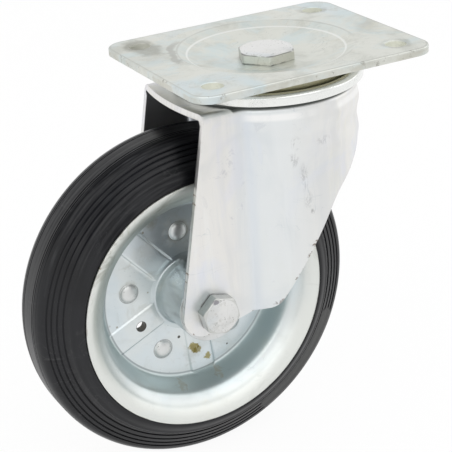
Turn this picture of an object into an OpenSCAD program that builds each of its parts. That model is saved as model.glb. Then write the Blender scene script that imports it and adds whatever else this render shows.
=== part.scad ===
// Swivel castor wheel for a gate: a dished four-hole top plate, a ball-race swivel head
// on a king bolt, a deep-drawn sheet fork, and a solid tyre on a two-piece pressed rim.
// Origin: swivel axis at the flat top face of the plate. +Z up. The wheel trails towards -X,
// its axle lies along Y, and the axle bolt's head is on the -Y side.

/* [Overall] */
// Diameter over the tread
wheel_d = 180; // [170:1:220]
// Horizontal distance from the swivel axis back to the wheel axle
trail = 55; // [45:1:66]
// Gap between the underside of the fork crown and the tread
tread_gap = 12.75; // [10:0.25:25]

/* [Top plate] */
// Length of the plate along X
plate_l = 135; // [125:1:180]
// Width of the plate along Y
plate_w = 110; // [104:1:160]
// Sheet thickness of the plate
plate_t = 4; // [3:0.5:5]
// Corner radius of the plate
plate_corner_r = 11; // [6:1:14]
// Distance between the bolt holes along X
hole_pitch_x = 105; // [95:1:115]
// Distance between the bolt holes along Y
hole_pitch_y = 80; // [75:1:86]
// Diameter of the bolt holes
hole_d = 11; // [9:0.5:13]
// Diameter of the round dish where it leaves the flat of the plate
dish_d = 90; // [86:1:98]
// Depth of the short step around the dish
dish_step = 2.6; // [2:0.2:3.2]
// Depth of the dish at the king bolt
dish_depth = 6.6; // [6:0.2:8]

/* [King bolt] */
// Thread diameter of the king bolt
king_d = 18; // [14:1:22]
// Width across the flats of its head and nut
king_af = 27; // [24:0.5:30]
// Height of its low head
king_head_h = 5.6; // [4.6:0.2:6]
// Height of its nut
king_nut_h = 9; // [7.5:0.5:11]
// Wall of the spacer tube around it
spacer_wall = 3.5; // [2.5:0.5:4.5]

/* [Swivel head] */
// Sheet thickness of the upper race under the dish and on the crown
race_t = 1.4; // [1.2:0.1:2]
// Ball diameter of the upper race
upper_ball_d = 7; // [6:0.5:8.5]
// Ball diameter of the lower race
lower_ball_d = 6; // [5:0.5:7.5]
// Pitch radius of the lower race
lower_race_r = 24; // [22:0.5:28]
// Least space between neighbouring balls
ball_space = 0.5; // [0.3:0.1:1]
// Running gap between a ball and its race
ball_gap = 0.05; // [0.02:0.01:0.1]
// How far the ring's rolled band stands out past the dish
band_overhang = 4.5; // [3.6:0.1:6]
// Height of the band
band_h = 5.7; // [5:0.1:6.6]
// Gap between the band and the fork crown
band_gap = 0.9; // [0.5:0.1:1.2]

/* [Fork] */
// Sheet thickness of the fork
fork_t = 3; // [2.5:0.25:3.75]
// Clear width between the legs
fork_inner_w = 59; // [57:1:72]
// Outside radius of the round hood about the swivel axis
hood_r = 46; // [42:0.5:48]
// Distance from the swivel axis to the crown's front edge at the legs
crown_front = 55; // [48:0.5:62]
// How far the middle of the crown's front edge stands forward of its ends
crown_bulge = 3.8; // [2:0.2:5]
// How far each leg reaches in front of the axle centre
leg_ahead = 18.5; // [15:0.5:24]
// How far each leg's lower rear corner lies behind the axle centre
leg_behind = 33; // [27:0.5:38]
// Depth of leg below the axle centre, measured at its lowest corner
leg_below = 15.8; // [14:0.2:19]
// Rise of the legs' bottom edge for each millimetre towards the rear
sole_rise = 0.227; // [0.15:0.01:0.3]
// Corner radius at the toe of each leg
toe_r = 12; // [9:0.5:14]
// Corner radius at the heel of each leg
heel_r = 11; // [8:0.5:14]

/* [Wheel] */
// Width of the wheel over the rim edges
rim_w = 46.6; // [40:0.2:54]
// Height of rubber between the rim's edge and the tread
tyre_h = 22; // [18:0.5:26]
// Width of the tyre where its side walls turn into the tread
tread_w = 27.4; // [22:0.2:34]
// Sheet thickness of each rim half
rim_t = 1.5; // [1.2:0.1:1.8]
// Radial width of the curved wall between the rim's flat web and its edge
rim_wall_w = 20; // [18:0.5:23]
// Width of each raised rib on the web
rib_w = 12.5; // [10:0.5:14]
// Height of each raised rib
rib_h = 1; // [0.6:0.1:1.4]
// Number of rivets and of ribs between them
rivet_n = 5; // [4:1:6]
// Distance from the web's edge in to the rivet circle
rivet_inset = 13; // [11:0.5:15]
// Diameter of the rivet shanks
rivet_d = 6; // [5:0.5:7.5]
// Diameter of the rivets' domed heads
rivet_head_d = 10.5; // [9:0.5:12]
// Height of the rivets' domed heads
rivet_head_h = 2.4; // [2:0.1:3]
// Diameter of the small drain hole in one rib
drain_d = 5.5; // [4:0.5:7]
// Distance from the web's edge in to the drain hole
drain_inset = 16; // [13:0.5:19]

/* [Hub and axle] */
// Thread diameter of the axle bolt
axle_d = 12; // [10:1:15]
// Width across the flats of the axle bolt's head and nut
axle_af = 19; // [17:1:22]
// Height of the axle bolt's head
axle_head_h = 7; // [5:0.5:7.5]
// Height of the axle nut
axle_nut_h = 10; // [8:0.5:12]
// Thickness of the washer under the axle nut
axle_washer_t = 2.5; // [2:0.5:3]
// Wall of the sleeve that the rollers run on
sleeve_wall = 3.9; // [3:0.1:5]
// Diameter of the rollers
roller_d = 5; // [4:0.5:6]
// Least space between neighbouring rollers
roller_space = 2; // [1.5:0.1:3]
// Running gap between a roller and what it rolls on
roller_gap = 0.04; // [0.02:0.01:0.08]
// Distance from each end of the hub tube in to the rollers
roller_inset = 5; // [5:0.5:9]
// Wall of the hub tube
hub_wall = 3; // [2.5:0.5:4]
// Distance from each end of the hub tube to the fork leg
hub_side_gap = 2.5; // [2:0.1:4]

/* [Hidden] */
$fn = 96;
eps = 0.01;
cut = 1; // how far a cutting tool runs past what it cuts
slip = 0.1; // radial clearance of a hole on a bolt shank

// dish of the plate: a short step, then a cone down to the flat seat of the king bolt's head
dish_r = dish_d / 2;
dish_step_w = 5;
dish_floor_r = dish_r - dish_step_w;
king_seat_r = 0.78 * king_af;
dish_slope = (dish_depth - dish_step) / (dish_floor_r - king_seat_r);
function under_dish(r) = -plate_t - dish_step - dish_slope * (dish_floor_r - r);

// upper ball race, between the dish and the crown
skirt_t = 1.5;
skirt_inset = 1.4;
track_wall = 2.6;
track_shelf = 4;
race_split = 1.5;
upper_race_out = dish_r - skirt_inset;
upper_race_r = upper_race_out - skirt_t - track_wall - upper_ball_d / 2;
upper_race_in = upper_race_r - upper_ball_d / 2 - track_shelf;
upper_ball_n = floor(2 * PI * upper_race_r / (upper_ball_d + ball_space));
upper_ball_z = under_dish(upper_race_r) - race_t - upper_ball_d / 2;
skirt_end = upper_ball_z - 0.5 * race_split;

// fork crown and the ring that lies on it
crown_top = upper_ball_z - upper_ball_d / 2 - race_t;
crown_under = crown_top - fork_t;
band_bottom = crown_top + band_gap;
band_top = band_bottom + band_h;
band_r = dish_r + band_overhang;
band_lip_r = upper_race_out + 1.1;
band_bevel = 2;

// lower ball race, under the crown, and the king bolt's stack
king_r = king_d / 2;
spacer_r = king_r + slip + spacer_wall;
crown_bore_r = spacer_r + 1;
lower_ball_n = floor(2 * PI * lower_race_r / (lower_ball_d + ball_space));
lower_groove = 1;
lower_ball_z = crown_under - lower_ball_d / 2 + lower_groove;
lower_race_top = lower_ball_z - 0.8;
lower_race_t = 4;
lower_race_bottom = lower_race_top - lower_race_t;
lock_washer_t = 2.2;
lock_washer_w = 4.5;
king_nut_top = lower_race_bottom - lock_washer_t;
king_nut_bottom = king_nut_top - king_nut_h;
thread_end = 2.5; // bolt standing out of its nut
king_turn = 8;
king_nut_turn = 20;

// wheel axle: as low as the crown and the king bolt's nut need it for the tread to pass
wheel_r = wheel_d / 2;
king_nut_r = king_af / 2 / cos(30);
nut_tread_gap = 3;
axle_x = -trail;
axle_below_crown = wheel_r + tread_gap;
axle_below_nut = sqrt(pow(wheel_r + nut_tread_gap, 2) - pow(trail - king_nut_r, 2));
axle_z = min(crown_under - axle_below_crown, king_nut_bottom - axle_below_nut);

// fork, seen from the side: x against z, with corner radii
leg_out = fork_inner_w / 2 + fork_t;
leg_rake = (trail + leg_ahead - crown_front) / (crown_under - axle_z);
function front_x(z) = -crown_front + leg_rake * (z - crown_under);
sole_z0 = axle_z - leg_below;
sole_x0 = front_x(sole_z0);
heel_x = axle_x + leg_behind;
heel_z = sole_z0 + sole_rise * (heel_x - sole_x0);
waist = [13, (axle_z + crown_top) / 2];
waist_r = 40;
hem_rise = 0.8;
side_end = hood_r + 5;
fork_side = [
    [front_x(crown_top), crown_top, 0],
    [sole_x0, sole_z0, toe_r],
    [heel_x, heel_z, heel_r],
    [waist[0], waist[1], waist_r],
    [side_end, waist[1] + hem_rise * (side_end - waist[0]), 0],
    [side_end, crown_top, 0]
];

// rim half, from the web outwards: radius against distance from the wheel's middle plane
rim_edge_r = wheel_r - tyre_h;
rim_edge_y = rim_w / 2;
web_r = rim_edge_r - rim_wall_w;
rim_face = [
    [web_r, rim_t],
    [web_r + 2.4, rim_t + 1.2],
    [web_r + 7.6, rim_t + 6.4],
    [web_r + 10.4, rim_t + 12],
    [rim_edge_r - 5.6, rim_edge_y - 3],
    [rim_edge_r - 2.8, rim_edge_y - 0.6],
    [rim_edge_r, rim_edge_y]
];
rivet_circle_r = web_r - rivet_inset;
rivet_start = 96;
rib_start = rivet_start + 180 / rivet_n;
drain_rib = 1;

// tyre section outside the rim, from the bead over the ridge to the crown of the tread
tyre_seat_gap = 0.05;
tread_y = tread_w / 2;
tyre_outer = [
    [rim_edge_r + 0.4, rim_edge_y - 1.2],
    [rim_edge_r + 6, rim_edge_y - 5.1],
    [rim_edge_r + 9.3, rim_edge_y - 6.6],
    [wheel_r - 6.3, tread_y],
    [wheel_r - 4.5, tread_y - 0.4],
    [wheel_r - 3, tread_y - 0.8],
    [wheel_r - 1.8, tread_y - 1.8],
    [wheel_r - 0.9, tread_y - 3],
    [wheel_r - 0.3, tread_y - 4.5],
    [wheel_r - 0.05, tread_y - 6.3],
    [wheel_r, tread_y - 8.8]
];

// hub with its roller bearing
axle_r = axle_d / 2;
axle_washer_r = 2 * axle_r;
axle_turn = 45;
axle_nut_turn = 12;
sleeve_r = axle_r + slip + sleeve_wall;
roller_circle_r = sleeve_r + roller_d / 2;
roller_n = floor(2 * PI * roller_circle_r / (roller_d + roller_space));
hub_in_r = sleeve_r + roller_d;
hub_r = hub_in_r + hub_wall;
hub_l = fork_inner_w - 2 * hub_side_gap;
hub_shoulder_w = 2.5;
hub_shoulder_l = 4;
cap_side_gap = 0.4;
cap_bore_gap = 0.08;
cap_lip = 3;
roller_l = hub_l - 2 * roller_inset;
cage_t = 1.8;
cage_gap = 0.12;
cage_end = 1.5;

// Points p of a closed outline, each [x, y, corner radius], with the corners rounded.
function unit(v) = v / norm(v);
function corner_arc(a, p, b, r, n = 8) =
    let (u = unit([a[0], a[1]] - [p[0], p[1]]), v = unit([b[0], b[1]] - [p[0], p[1]]))
    let (half = acos(u * v) / 2, reach = r / tan(half))
    let (centre = [p[0], p[1]] + unit(u + v) * r / sin(half))
    let (s = [p[0], p[1]] + u * reach - centre, e = [p[0], p[1]] + v * reach - centre)
    let (sweep = 180 - 2 * half, way = sign(s[0] * e[1] - s[1] * e[0]))
    [for (i = [0:n]) let (t = way * sweep * i / n)
        centre + [s[0] * cos(t) - s[1] * sin(t), s[0] * sin(t) + s[1] * cos(t)]];
function rounded(p) =
    [for (i = [0:len(p) - 1]) let (a = p[(i + len(p) - 1) % len(p)], b = p[(i + 1) % len(p)])
        each p[i][2] > 0 ? corner_arc(a, p[i], b, p[i][2]) : [[p[i][0], p[i][1]]]];

// A path moved sideways by d, to the left of its own direction.
function path_normal(p, i) =
    let (a = p[max(i - 1, 0)], b = p[min(i + 1, len(p) - 1)], u = unit(b - a)) [-u[1], u[0]];
function moved(p, d) = [for (i = [0:len(p) - 1]) p[i] + d * path_normal(p, i)];
function reversed(p) = [for (i = [len(p) - 1:-1:0]) p[i]];
function mirrored(p) = [for (q = p) [q[0], -q[1]]];

// Places children on the wheel axle, with their own Z along +Y.
module on_axle() {
    translate([axle_x, 0, axle_z]) rotate([-90, 0, 0]) children();
}

// Repeats children around Z, at radius r.
module around(n, r, start = 0) {
    for (i = [0:n - 1]) rotate([0, 0, start + i * 360 / n]) translate([r, 0, 0]) children();
}

module tube(r_out, r_in, low, high) {
    translate([0, 0, low]) difference() {
        cylinder(r = r_out, h = high - low);
        translate([0, 0, -cut]) cylinder(r = r_in, h = high - low + 2 * cut);
    }
}

// Hexagon bar of width af across its flats, standing on Z = 0, chamfered at its far end.
module hexagon(af, h, turn = 0) {
    chamfer = 0.08 * af;
    intersection() {
        rotate([0, 0, turn]) cylinder(r = af / 2 / cos(30), h = h, $fn = 6);
        union() {
            cylinder(r = af, h = h - chamfer / 2);
            translate([0, 0, h - chamfer / 2 - eps])
                cylinder(r1 = af / 2 + chamfer, r2 = af / 2 - 0.2, h = chamfer / 2 + eps);
        }
    }
}

// The groove that balls of diameter ball_d sweep on a circle of radius r, with their running gap.
module ball_track(r, z, ball_d) {
    translate([0, 0, z]) rotate_extrude() translate([r, 0]) circle(r = ball_d / 2 + ball_gap);
}

module plate_outline() {
    dx = plate_l / 2 - plate_corner_r;
    dy = plate_w / 2 - plate_corner_r;
    square([plate_l, plate_w - 2 * plate_corner_r], center = true);
    square([plate_l - 2 * plate_corner_r, plate_w], center = true);
    for (x = [-dx, dx], y = [-dy, dy]) translate([x, y]) circle(r = plate_corner_r);
}

// Solid of revolution whose top follows the dish, moved down by drop, inside radius r.
module dish_body(r, drop, bottom) {
    rotate_extrude() polygon([
        [0, bottom],
        [r, bottom],
        [r, -drop - dish_step * (r < dish_r ? (dish_r - r) / (dish_r - dish_floor_r) : 0)],
        [dish_floor_r, -drop - dish_step],
        [king_seat_r, -drop - dish_depth],
        [0, -drop - dish_depth]
    ]);
}

module top_plate() {
    color("gainsboro") difference() {
        union() {
            translate([0, 0, -plate_t]) linear_extrude(plate_t) plate_outline();
            dish_body(dish_r, plate_t - dish_step, -plate_t - dish_depth);
        }
        rotate_extrude() polygon([
            [0, cut], [dish_r, cut], [dish_r, 0], [dish_floor_r, -dish_step],
            [king_seat_r, -dish_depth], [0, -dish_depth]
        ]);
        rotate_extrude() polygon([
            [dish_r + cut, -plate_t - dish_depth - cut],
            [dish_r + cut, -plate_t],
            [dish_r, -plate_t],
            [dish_floor_r, -plate_t - dish_step],
            [king_seat_r, -plate_t - dish_depth],
            [0, -plate_t - dish_depth],
            [0, -plate_t - dish_depth - cut]
        ]);
        translate([0, 0, -plate_t - dish_depth - cut])
            cylinder(r = king_r + slip, h = plate_t + dish_depth + 2 * cut);
        for (x = [-1, 1], y = [-1, 1])
            translate([x * hole_pitch_x / 2, y * hole_pitch_y / 2, -plate_t - cut])
                cylinder(d = hole_d, h = plate_t + 2 * cut);
    }
}

module king_bolt() {
    color("gainsboro") {
        translate([0, 0, -dish_depth]) hexagon(king_af, king_head_h, king_turn);
        translate([0, 0, king_nut_bottom - thread_end])
            cylinder(r = king_r, h = thread_end - king_nut_bottom - dish_depth + eps);
    }
}

module king_nut() {
    color("silver") difference() {
        translate([0, 0, king_nut_top]) mirror([0, 0, 1]) hexagon(king_af, king_nut_h, king_nut_turn);
        translate([0, 0, king_nut_bottom - cut]) cylinder(r = king_r, h = king_nut_h + 2 * cut);
    }
}

// Split spring washer under the nut.
module king_lock_washer() {
    split_w = 1.6;
    color("silver") difference() {
        tube(king_r + lock_washer_w, king_r + slip, king_nut_top, lower_race_bottom);
        translate([king_r, -split_w / 2, king_nut_top - cut])
            cube([lock_washer_w + cut, split_w, lock_washer_t + 2 * cut]);
    }
}

// Tube that keeps the lower race at its running distance from the plate.
module king_spacer() {
    color("silver")
        tube(spacer_r, king_r + slip, lower_race_top - lower_groove, -plate_t - dish_depth);
}

// Pressed race under the dish, with a skirt that hides the balls.
module upper_race() {
    floor_bottom = upper_ball_z + race_split;
    step_slope = dish_step / dish_step_w;
    color("darkkhaki") difference() {
        rotate_extrude() polygon([
            [upper_race_in, under_dish(upper_race_in)],
            [upper_race_in, floor_bottom],
            [upper_race_out - skirt_t, floor_bottom],
            [upper_race_out - skirt_t, skirt_end],
            [upper_race_out, skirt_end],
            [upper_race_out, -plate_t - step_slope * (dish_r - upper_race_out)],
            [dish_floor_r, -plate_t - dish_step]
        ]);
        ball_track(upper_race_r, upper_ball_z, upper_ball_d);
    }
}

module upper_balls() {
    color("dimgray") translate([0, 0, upper_ball_z])
        around(upper_ball_n, upper_race_r) sphere(d = upper_ball_d, $fn = 32);
}

// Lower half of the upper race: it lies on the crown and its rolled band closes the head.
module swivel_ring() {
    color("gainsboro") difference() {
        rotate_extrude() polygon([
            [upper_race_in, crown_top],
            [hood_r, crown_top],
            [hood_r, band_bottom],
            [band_r, band_bottom],
            [band_r, band_top - band_bevel],
            [band_r - band_bevel, band_top],
            [band_lip_r, band_top],
            [band_lip_r, upper_ball_z - race_split],
            [upper_race_in, upper_ball_z - race_split]
        ]);
        ball_track(upper_race_r, upper_ball_z, upper_ball_d);
    }
}

module lower_balls() {
    color("dimgray") translate([0, 0, lower_ball_z])
        around(lower_ball_n, lower_race_r) sphere(d = lower_ball_d, $fn = 32);
}

module lower_race() {
    brim = 3;
    inner_brim = 0.5;
    color("silver") difference() {
        tube(lower_race_r + lower_ball_d / 2 + brim, king_r + slip, lower_race_bottom, lower_race_top);
        translate([0, 0, lower_race_top - lower_groove])
            cylinder(r = lower_race_r - lower_ball_d / 2 - inner_brim, h = lower_groove + cut);
        ball_track(lower_race_r, lower_ball_z, lower_ball_d);
    }
}

// Plan of the hood and legs, r being the hood's radius and half the leg width.
module hood_plan(r, half, front) {
    circle(r = r, $fn = 144);
    translate([-front, -half]) square([front - hood_r / 2, 2 * half]);
}

// Sheet fork: a flat crown, a round hood behind, and two legs cut to the side outline.
module fork() {
    long = 2 * (crown_front + trail);
    bulge_r = (leg_out * leg_out + crown_bulge * crown_bulge) / (2 * crown_bulge);
    color("lightgray") difference() {
        union() {
            intersection() {
                translate([0, 0, sole_z0]) linear_extrude(crown_top - sole_z0) difference() {
                    hood_plan(hood_r, leg_out, long);
                    hood_plan(hood_r - fork_t, fork_inner_w / 2, long + cut);
                }
                translate([0, leg_out + hood_r, 0]) rotate([90, 0, 0])
                    linear_extrude(2 * (leg_out + hood_r)) polygon(rounded(fork_side));
            }
            translate([0, 0, crown_under]) linear_extrude(fork_t) intersection() {
                hood_plan(hood_r, leg_out, long);
                translate([bulge_r - crown_front - crown_bulge, 0]) circle(r = bulge_r, $fn = 180);
            }
        }
        translate([0, 0, crown_under - cut]) cylinder(r = crown_bore_r, h = fork_t + 2 * cut);
        ball_track(lower_race_r, lower_ball_z, lower_ball_d);
        on_axle() translate([0, 0, -leg_out - cut])
            cylinder(r = axle_r + slip, h = 2 * (leg_out + cut));
    }
}

module axle_bolt() {
    shank_l = 2 * leg_out + axle_washer_t + axle_nut_h + thread_end;
    color("gainsboro") on_axle() {
        translate([0, 0, -leg_out]) mirror([0, 0, 1]) hexagon(axle_af, axle_head_h, -axle_turn);
        translate([0, 0, -leg_out - eps]) cylinder(r = axle_r, h = shank_l);
    }
}

module axle_washer() {
    color("gainsboro") on_axle() tube(axle_washer_r, axle_r + slip, leg_out, leg_out + axle_washer_t);
}

module axle_nut() {
    color("silver") on_axle() translate([0, 0, leg_out + axle_washer_t]) difference() {
        hexagon(axle_af, axle_nut_h, axle_nut_turn);
        translate([0, 0, -cut]) cylinder(r = axle_r, h = axle_nut_h + 2 * cut);
    }
}

// Hard sleeve clamped between the legs: the rollers run on it.
module axle_sleeve() {
    color("silver") on_axle()
        tube(sleeve_r, axle_r + slip, -fork_inner_w / 2, fork_inner_w / 2);
}

module hub_tube() {
    color("silver") on_axle() difference() {
        union() {
            translate([0, 0, -hub_l / 2]) cylinder(r = hub_r, h = hub_l);
            for (side = [0, 1]) mirror([0, 0, side]) translate([0, 0, rim_t])
                cylinder(r1 = hub_r + hub_shoulder_w, r2 = hub_r, h = hub_shoulder_l);
        }
        translate([0, 0, -hub_l]) cylinder(r = hub_in_r, h = 2 * hub_l);
    }
}

// Pressed cap that shuts one end of the hub and keeps the rollers in.
module hub_cap() {
    bore_r = sleeve_r + cap_bore_gap;
    color("dimgray") {
        tube(hub_r, bore_r, hub_l / 2, fork_inner_w / 2 - cap_side_gap);
        tube(hub_in_r - tyre_seat_gap, bore_r, hub_l / 2 - cap_lip, hub_l / 2 + eps);
    }
}
module hub_cap_near() { on_axle() mirror([0, 0, 1]) hub_cap(); }
module hub_cap_far() { on_axle() hub_cap(); }

module roller_cage() {
    half = roller_l / 2 + cage_gap;
    end = half + cage_end;
    color("saddlebrown") on_axle() difference() {
        tube(roller_circle_r + cage_t / 2, roller_circle_r - cage_t / 2, -end, end);
        around(roller_n, roller_circle_r) translate([0, 0, -half])
            cylinder(r = roller_d / 2 - roller_gap + cage_gap, h = 2 * half);
    }
}

module rollers() {
    color("gray") on_axle() around(roller_n, roller_circle_r)
        translate([0, 0, -roller_l / 2]) cylinder(r = roller_d / 2 - roller_gap, h = roller_l, $fn = 32);
}

// One pressed rim half on the +Z side of the wheel's middle plane, with its web ribs.
module rim_half(side) {
    back = moved(rim_face, -rim_t);
    back_wall = [for (i = [1:len(back) - 1]) back[i]];
    section = concat([[hub_r, 0], [hub_r, rim_t]], rim_face, reversed(back_wall), [[web_r + 1.2, 0]]);
    difference() {
        union() {
            rotate_extrude($fn = 144) polygon(section);
            intersection() {
                around(rivet_n, 0, -side * rib_start) translate([0, -rib_w / 2, rim_t - eps])
                    cube([web_r + 1, rib_w, rib_h + eps]);
                tube(web_r + 1, hub_r + hub_shoulder_w + slip, 0, rim_t + rib_h);
            }
        }
        around(rivet_n, rivet_circle_r, -side * rivet_start)
            translate([0, 0, -cut]) cylinder(d = rivet_d, h = rim_t + 2 * cut);
        rotate([0, 0, -side * (rib_start + drain_rib * 360 / rivet_n)])
            translate([web_r - drain_inset, 0, -cut])
                cylinder(d = drain_d, h = rim_t + rib_h + 2 * cut);
    }
}
module rim_near() { color("lightgray") on_axle() mirror([0, 0, 1]) rim_half(1); }
module rim_far() { color("lightgray") on_axle() rim_half(1); }

// Rivets through both webs, with a domed head on each side.
module rim_rivets() {
    dome_r = (rivet_head_d * rivet_head_d / 4 + rivet_head_h * rivet_head_h) / (2 * rivet_head_h);
    color("gray") on_axle() around(rivet_n, rivet_circle_r, -rivet_start) {
        translate([0, 0, -rim_t - eps]) cylinder(d = rivet_d, h = 2 * (rim_t + eps));
        for (side = [0, 1]) mirror([0, 0, side]) intersection() {
            translate([0, 0, rim_t + rivet_head_h - dome_r]) sphere(r = dome_r);
            translate([0, 0, rim_t]) cylinder(d = rivet_head_d + 2, h = rivet_head_h + 1);
        }
    }
}

module tyre() {
    seat = moved(rim_face, -rim_t - tyre_seat_gap);
    seat_side = [for (i = [1:len(seat) - 1]) seat[i]];
    half = concat([[web_r + 4.6, 0]], seat_side, tyre_outer);
    color("#1d1d1f") on_axle() rotate_extrude($fn = 180)
        polygon(concat(half, reversed(mirrored([for (i = [1:len(half) - 1]) half[i]]))));
}

top_plate();
king_bolt();
king_nut();
king_lock_washer();
king_spacer();
upper_race();
upper_balls();
swivel_ring();
lower_balls();
lower_race();
fork();
axle_bolt();
axle_washer();
axle_nut();
axle_sleeve();
hub_tube();
hub_cap_near();
hub_cap_far();
roller_cage();
rollers();
rim_near();
rim_far();
rim_rivets();
tyre();
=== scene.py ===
import bpy
import bmesh
import math
import numpy as np
from mathutils import Matrix, Vector


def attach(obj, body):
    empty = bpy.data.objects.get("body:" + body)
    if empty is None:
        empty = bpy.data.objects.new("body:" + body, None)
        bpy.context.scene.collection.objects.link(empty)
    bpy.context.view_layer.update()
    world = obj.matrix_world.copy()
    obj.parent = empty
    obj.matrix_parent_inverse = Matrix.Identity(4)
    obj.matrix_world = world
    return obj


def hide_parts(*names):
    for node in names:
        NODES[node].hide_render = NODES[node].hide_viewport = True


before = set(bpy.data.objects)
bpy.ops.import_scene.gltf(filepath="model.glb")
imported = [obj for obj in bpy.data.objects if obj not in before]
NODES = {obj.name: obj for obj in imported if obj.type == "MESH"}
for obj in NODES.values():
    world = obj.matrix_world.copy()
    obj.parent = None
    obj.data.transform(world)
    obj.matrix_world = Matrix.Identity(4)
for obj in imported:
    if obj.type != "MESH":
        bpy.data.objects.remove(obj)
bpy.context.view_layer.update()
MM = 0.001

# ---------------------------------------------------------------- sizes, in millimetres
PLATE = dict(length=135.0, width=110.0, t=4.0, corner=11.0, pitch_x=105.0, pitch_y=80.0, hole_r=5.5)
DISH_R, DISH_FLOOR_R, DISH_STEP, DISH_DEPTH, KING_SEAT_R = 45.0, 40.0, 2.6, 6.6, 21.06
KING_R, KING_AF = 9.0, 27.0
CROWN_TOP, FORK_T = -17.245, 3.0
CROWN_UNDER = CROWN_TOP - FORK_T
HOOD_R, LEG_OUT, CROWN_FRONT, CROWN_BULGE = 46.0, 32.5, 55.0, 3.8
CROWN_BORE_R = 13.6
AXLE_X, AXLE_Z, AXLE_R, AXLE_AF = -55.0, -122.995, 6.0, 19.0
LEG_RAKE = 0.18
RIM_T = 1.5
RIVETS, SECTOR, RIVET_CIRCLE, RIVET_START, RIB_START, RIB_W, RIB_H = 5, 72.0, 35.0, 96.0, 132.0, 12.5, 1.0
DRAIN = dict(r=2.75, circle=32.0, angle=204.0)
HUB_R, HUB_IN, HUB_HALF = 18.0, 15.0, 27.0
FLOOR_Z = -0.213


# ---------------------------------------------------------------- shader graphs
class Wire:
    """A socket that takes plain arithmetic."""

    def __init__(self, graph, socket):
        self.graph, self.socket = graph, socket

    def __add__(self, o): return self.graph.math("ADD", self, o)
    def __radd__(self, o): return self.graph.math("ADD", o, self)
    def __sub__(self, o): return self.graph.math("SUBTRACT", self, o)
    def __rsub__(self, o): return self.graph.math("SUBTRACT", o, self)
    def __mul__(self, o): return self.graph.math("MULTIPLY", self, o)
    def __rmul__(self, o): return self.graph.math("MULTIPLY", o, self)
    def __truediv__(self, o): return self.graph.math("DIVIDE", self, o)
    def __rtruediv__(self, o): return self.graph.math("DIVIDE", o, self)
    def __pow__(self, o): return self.graph.math("POWER", self, o)
    def __rpow__(self, o): return self.graph.math("POWER", o, self)


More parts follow.
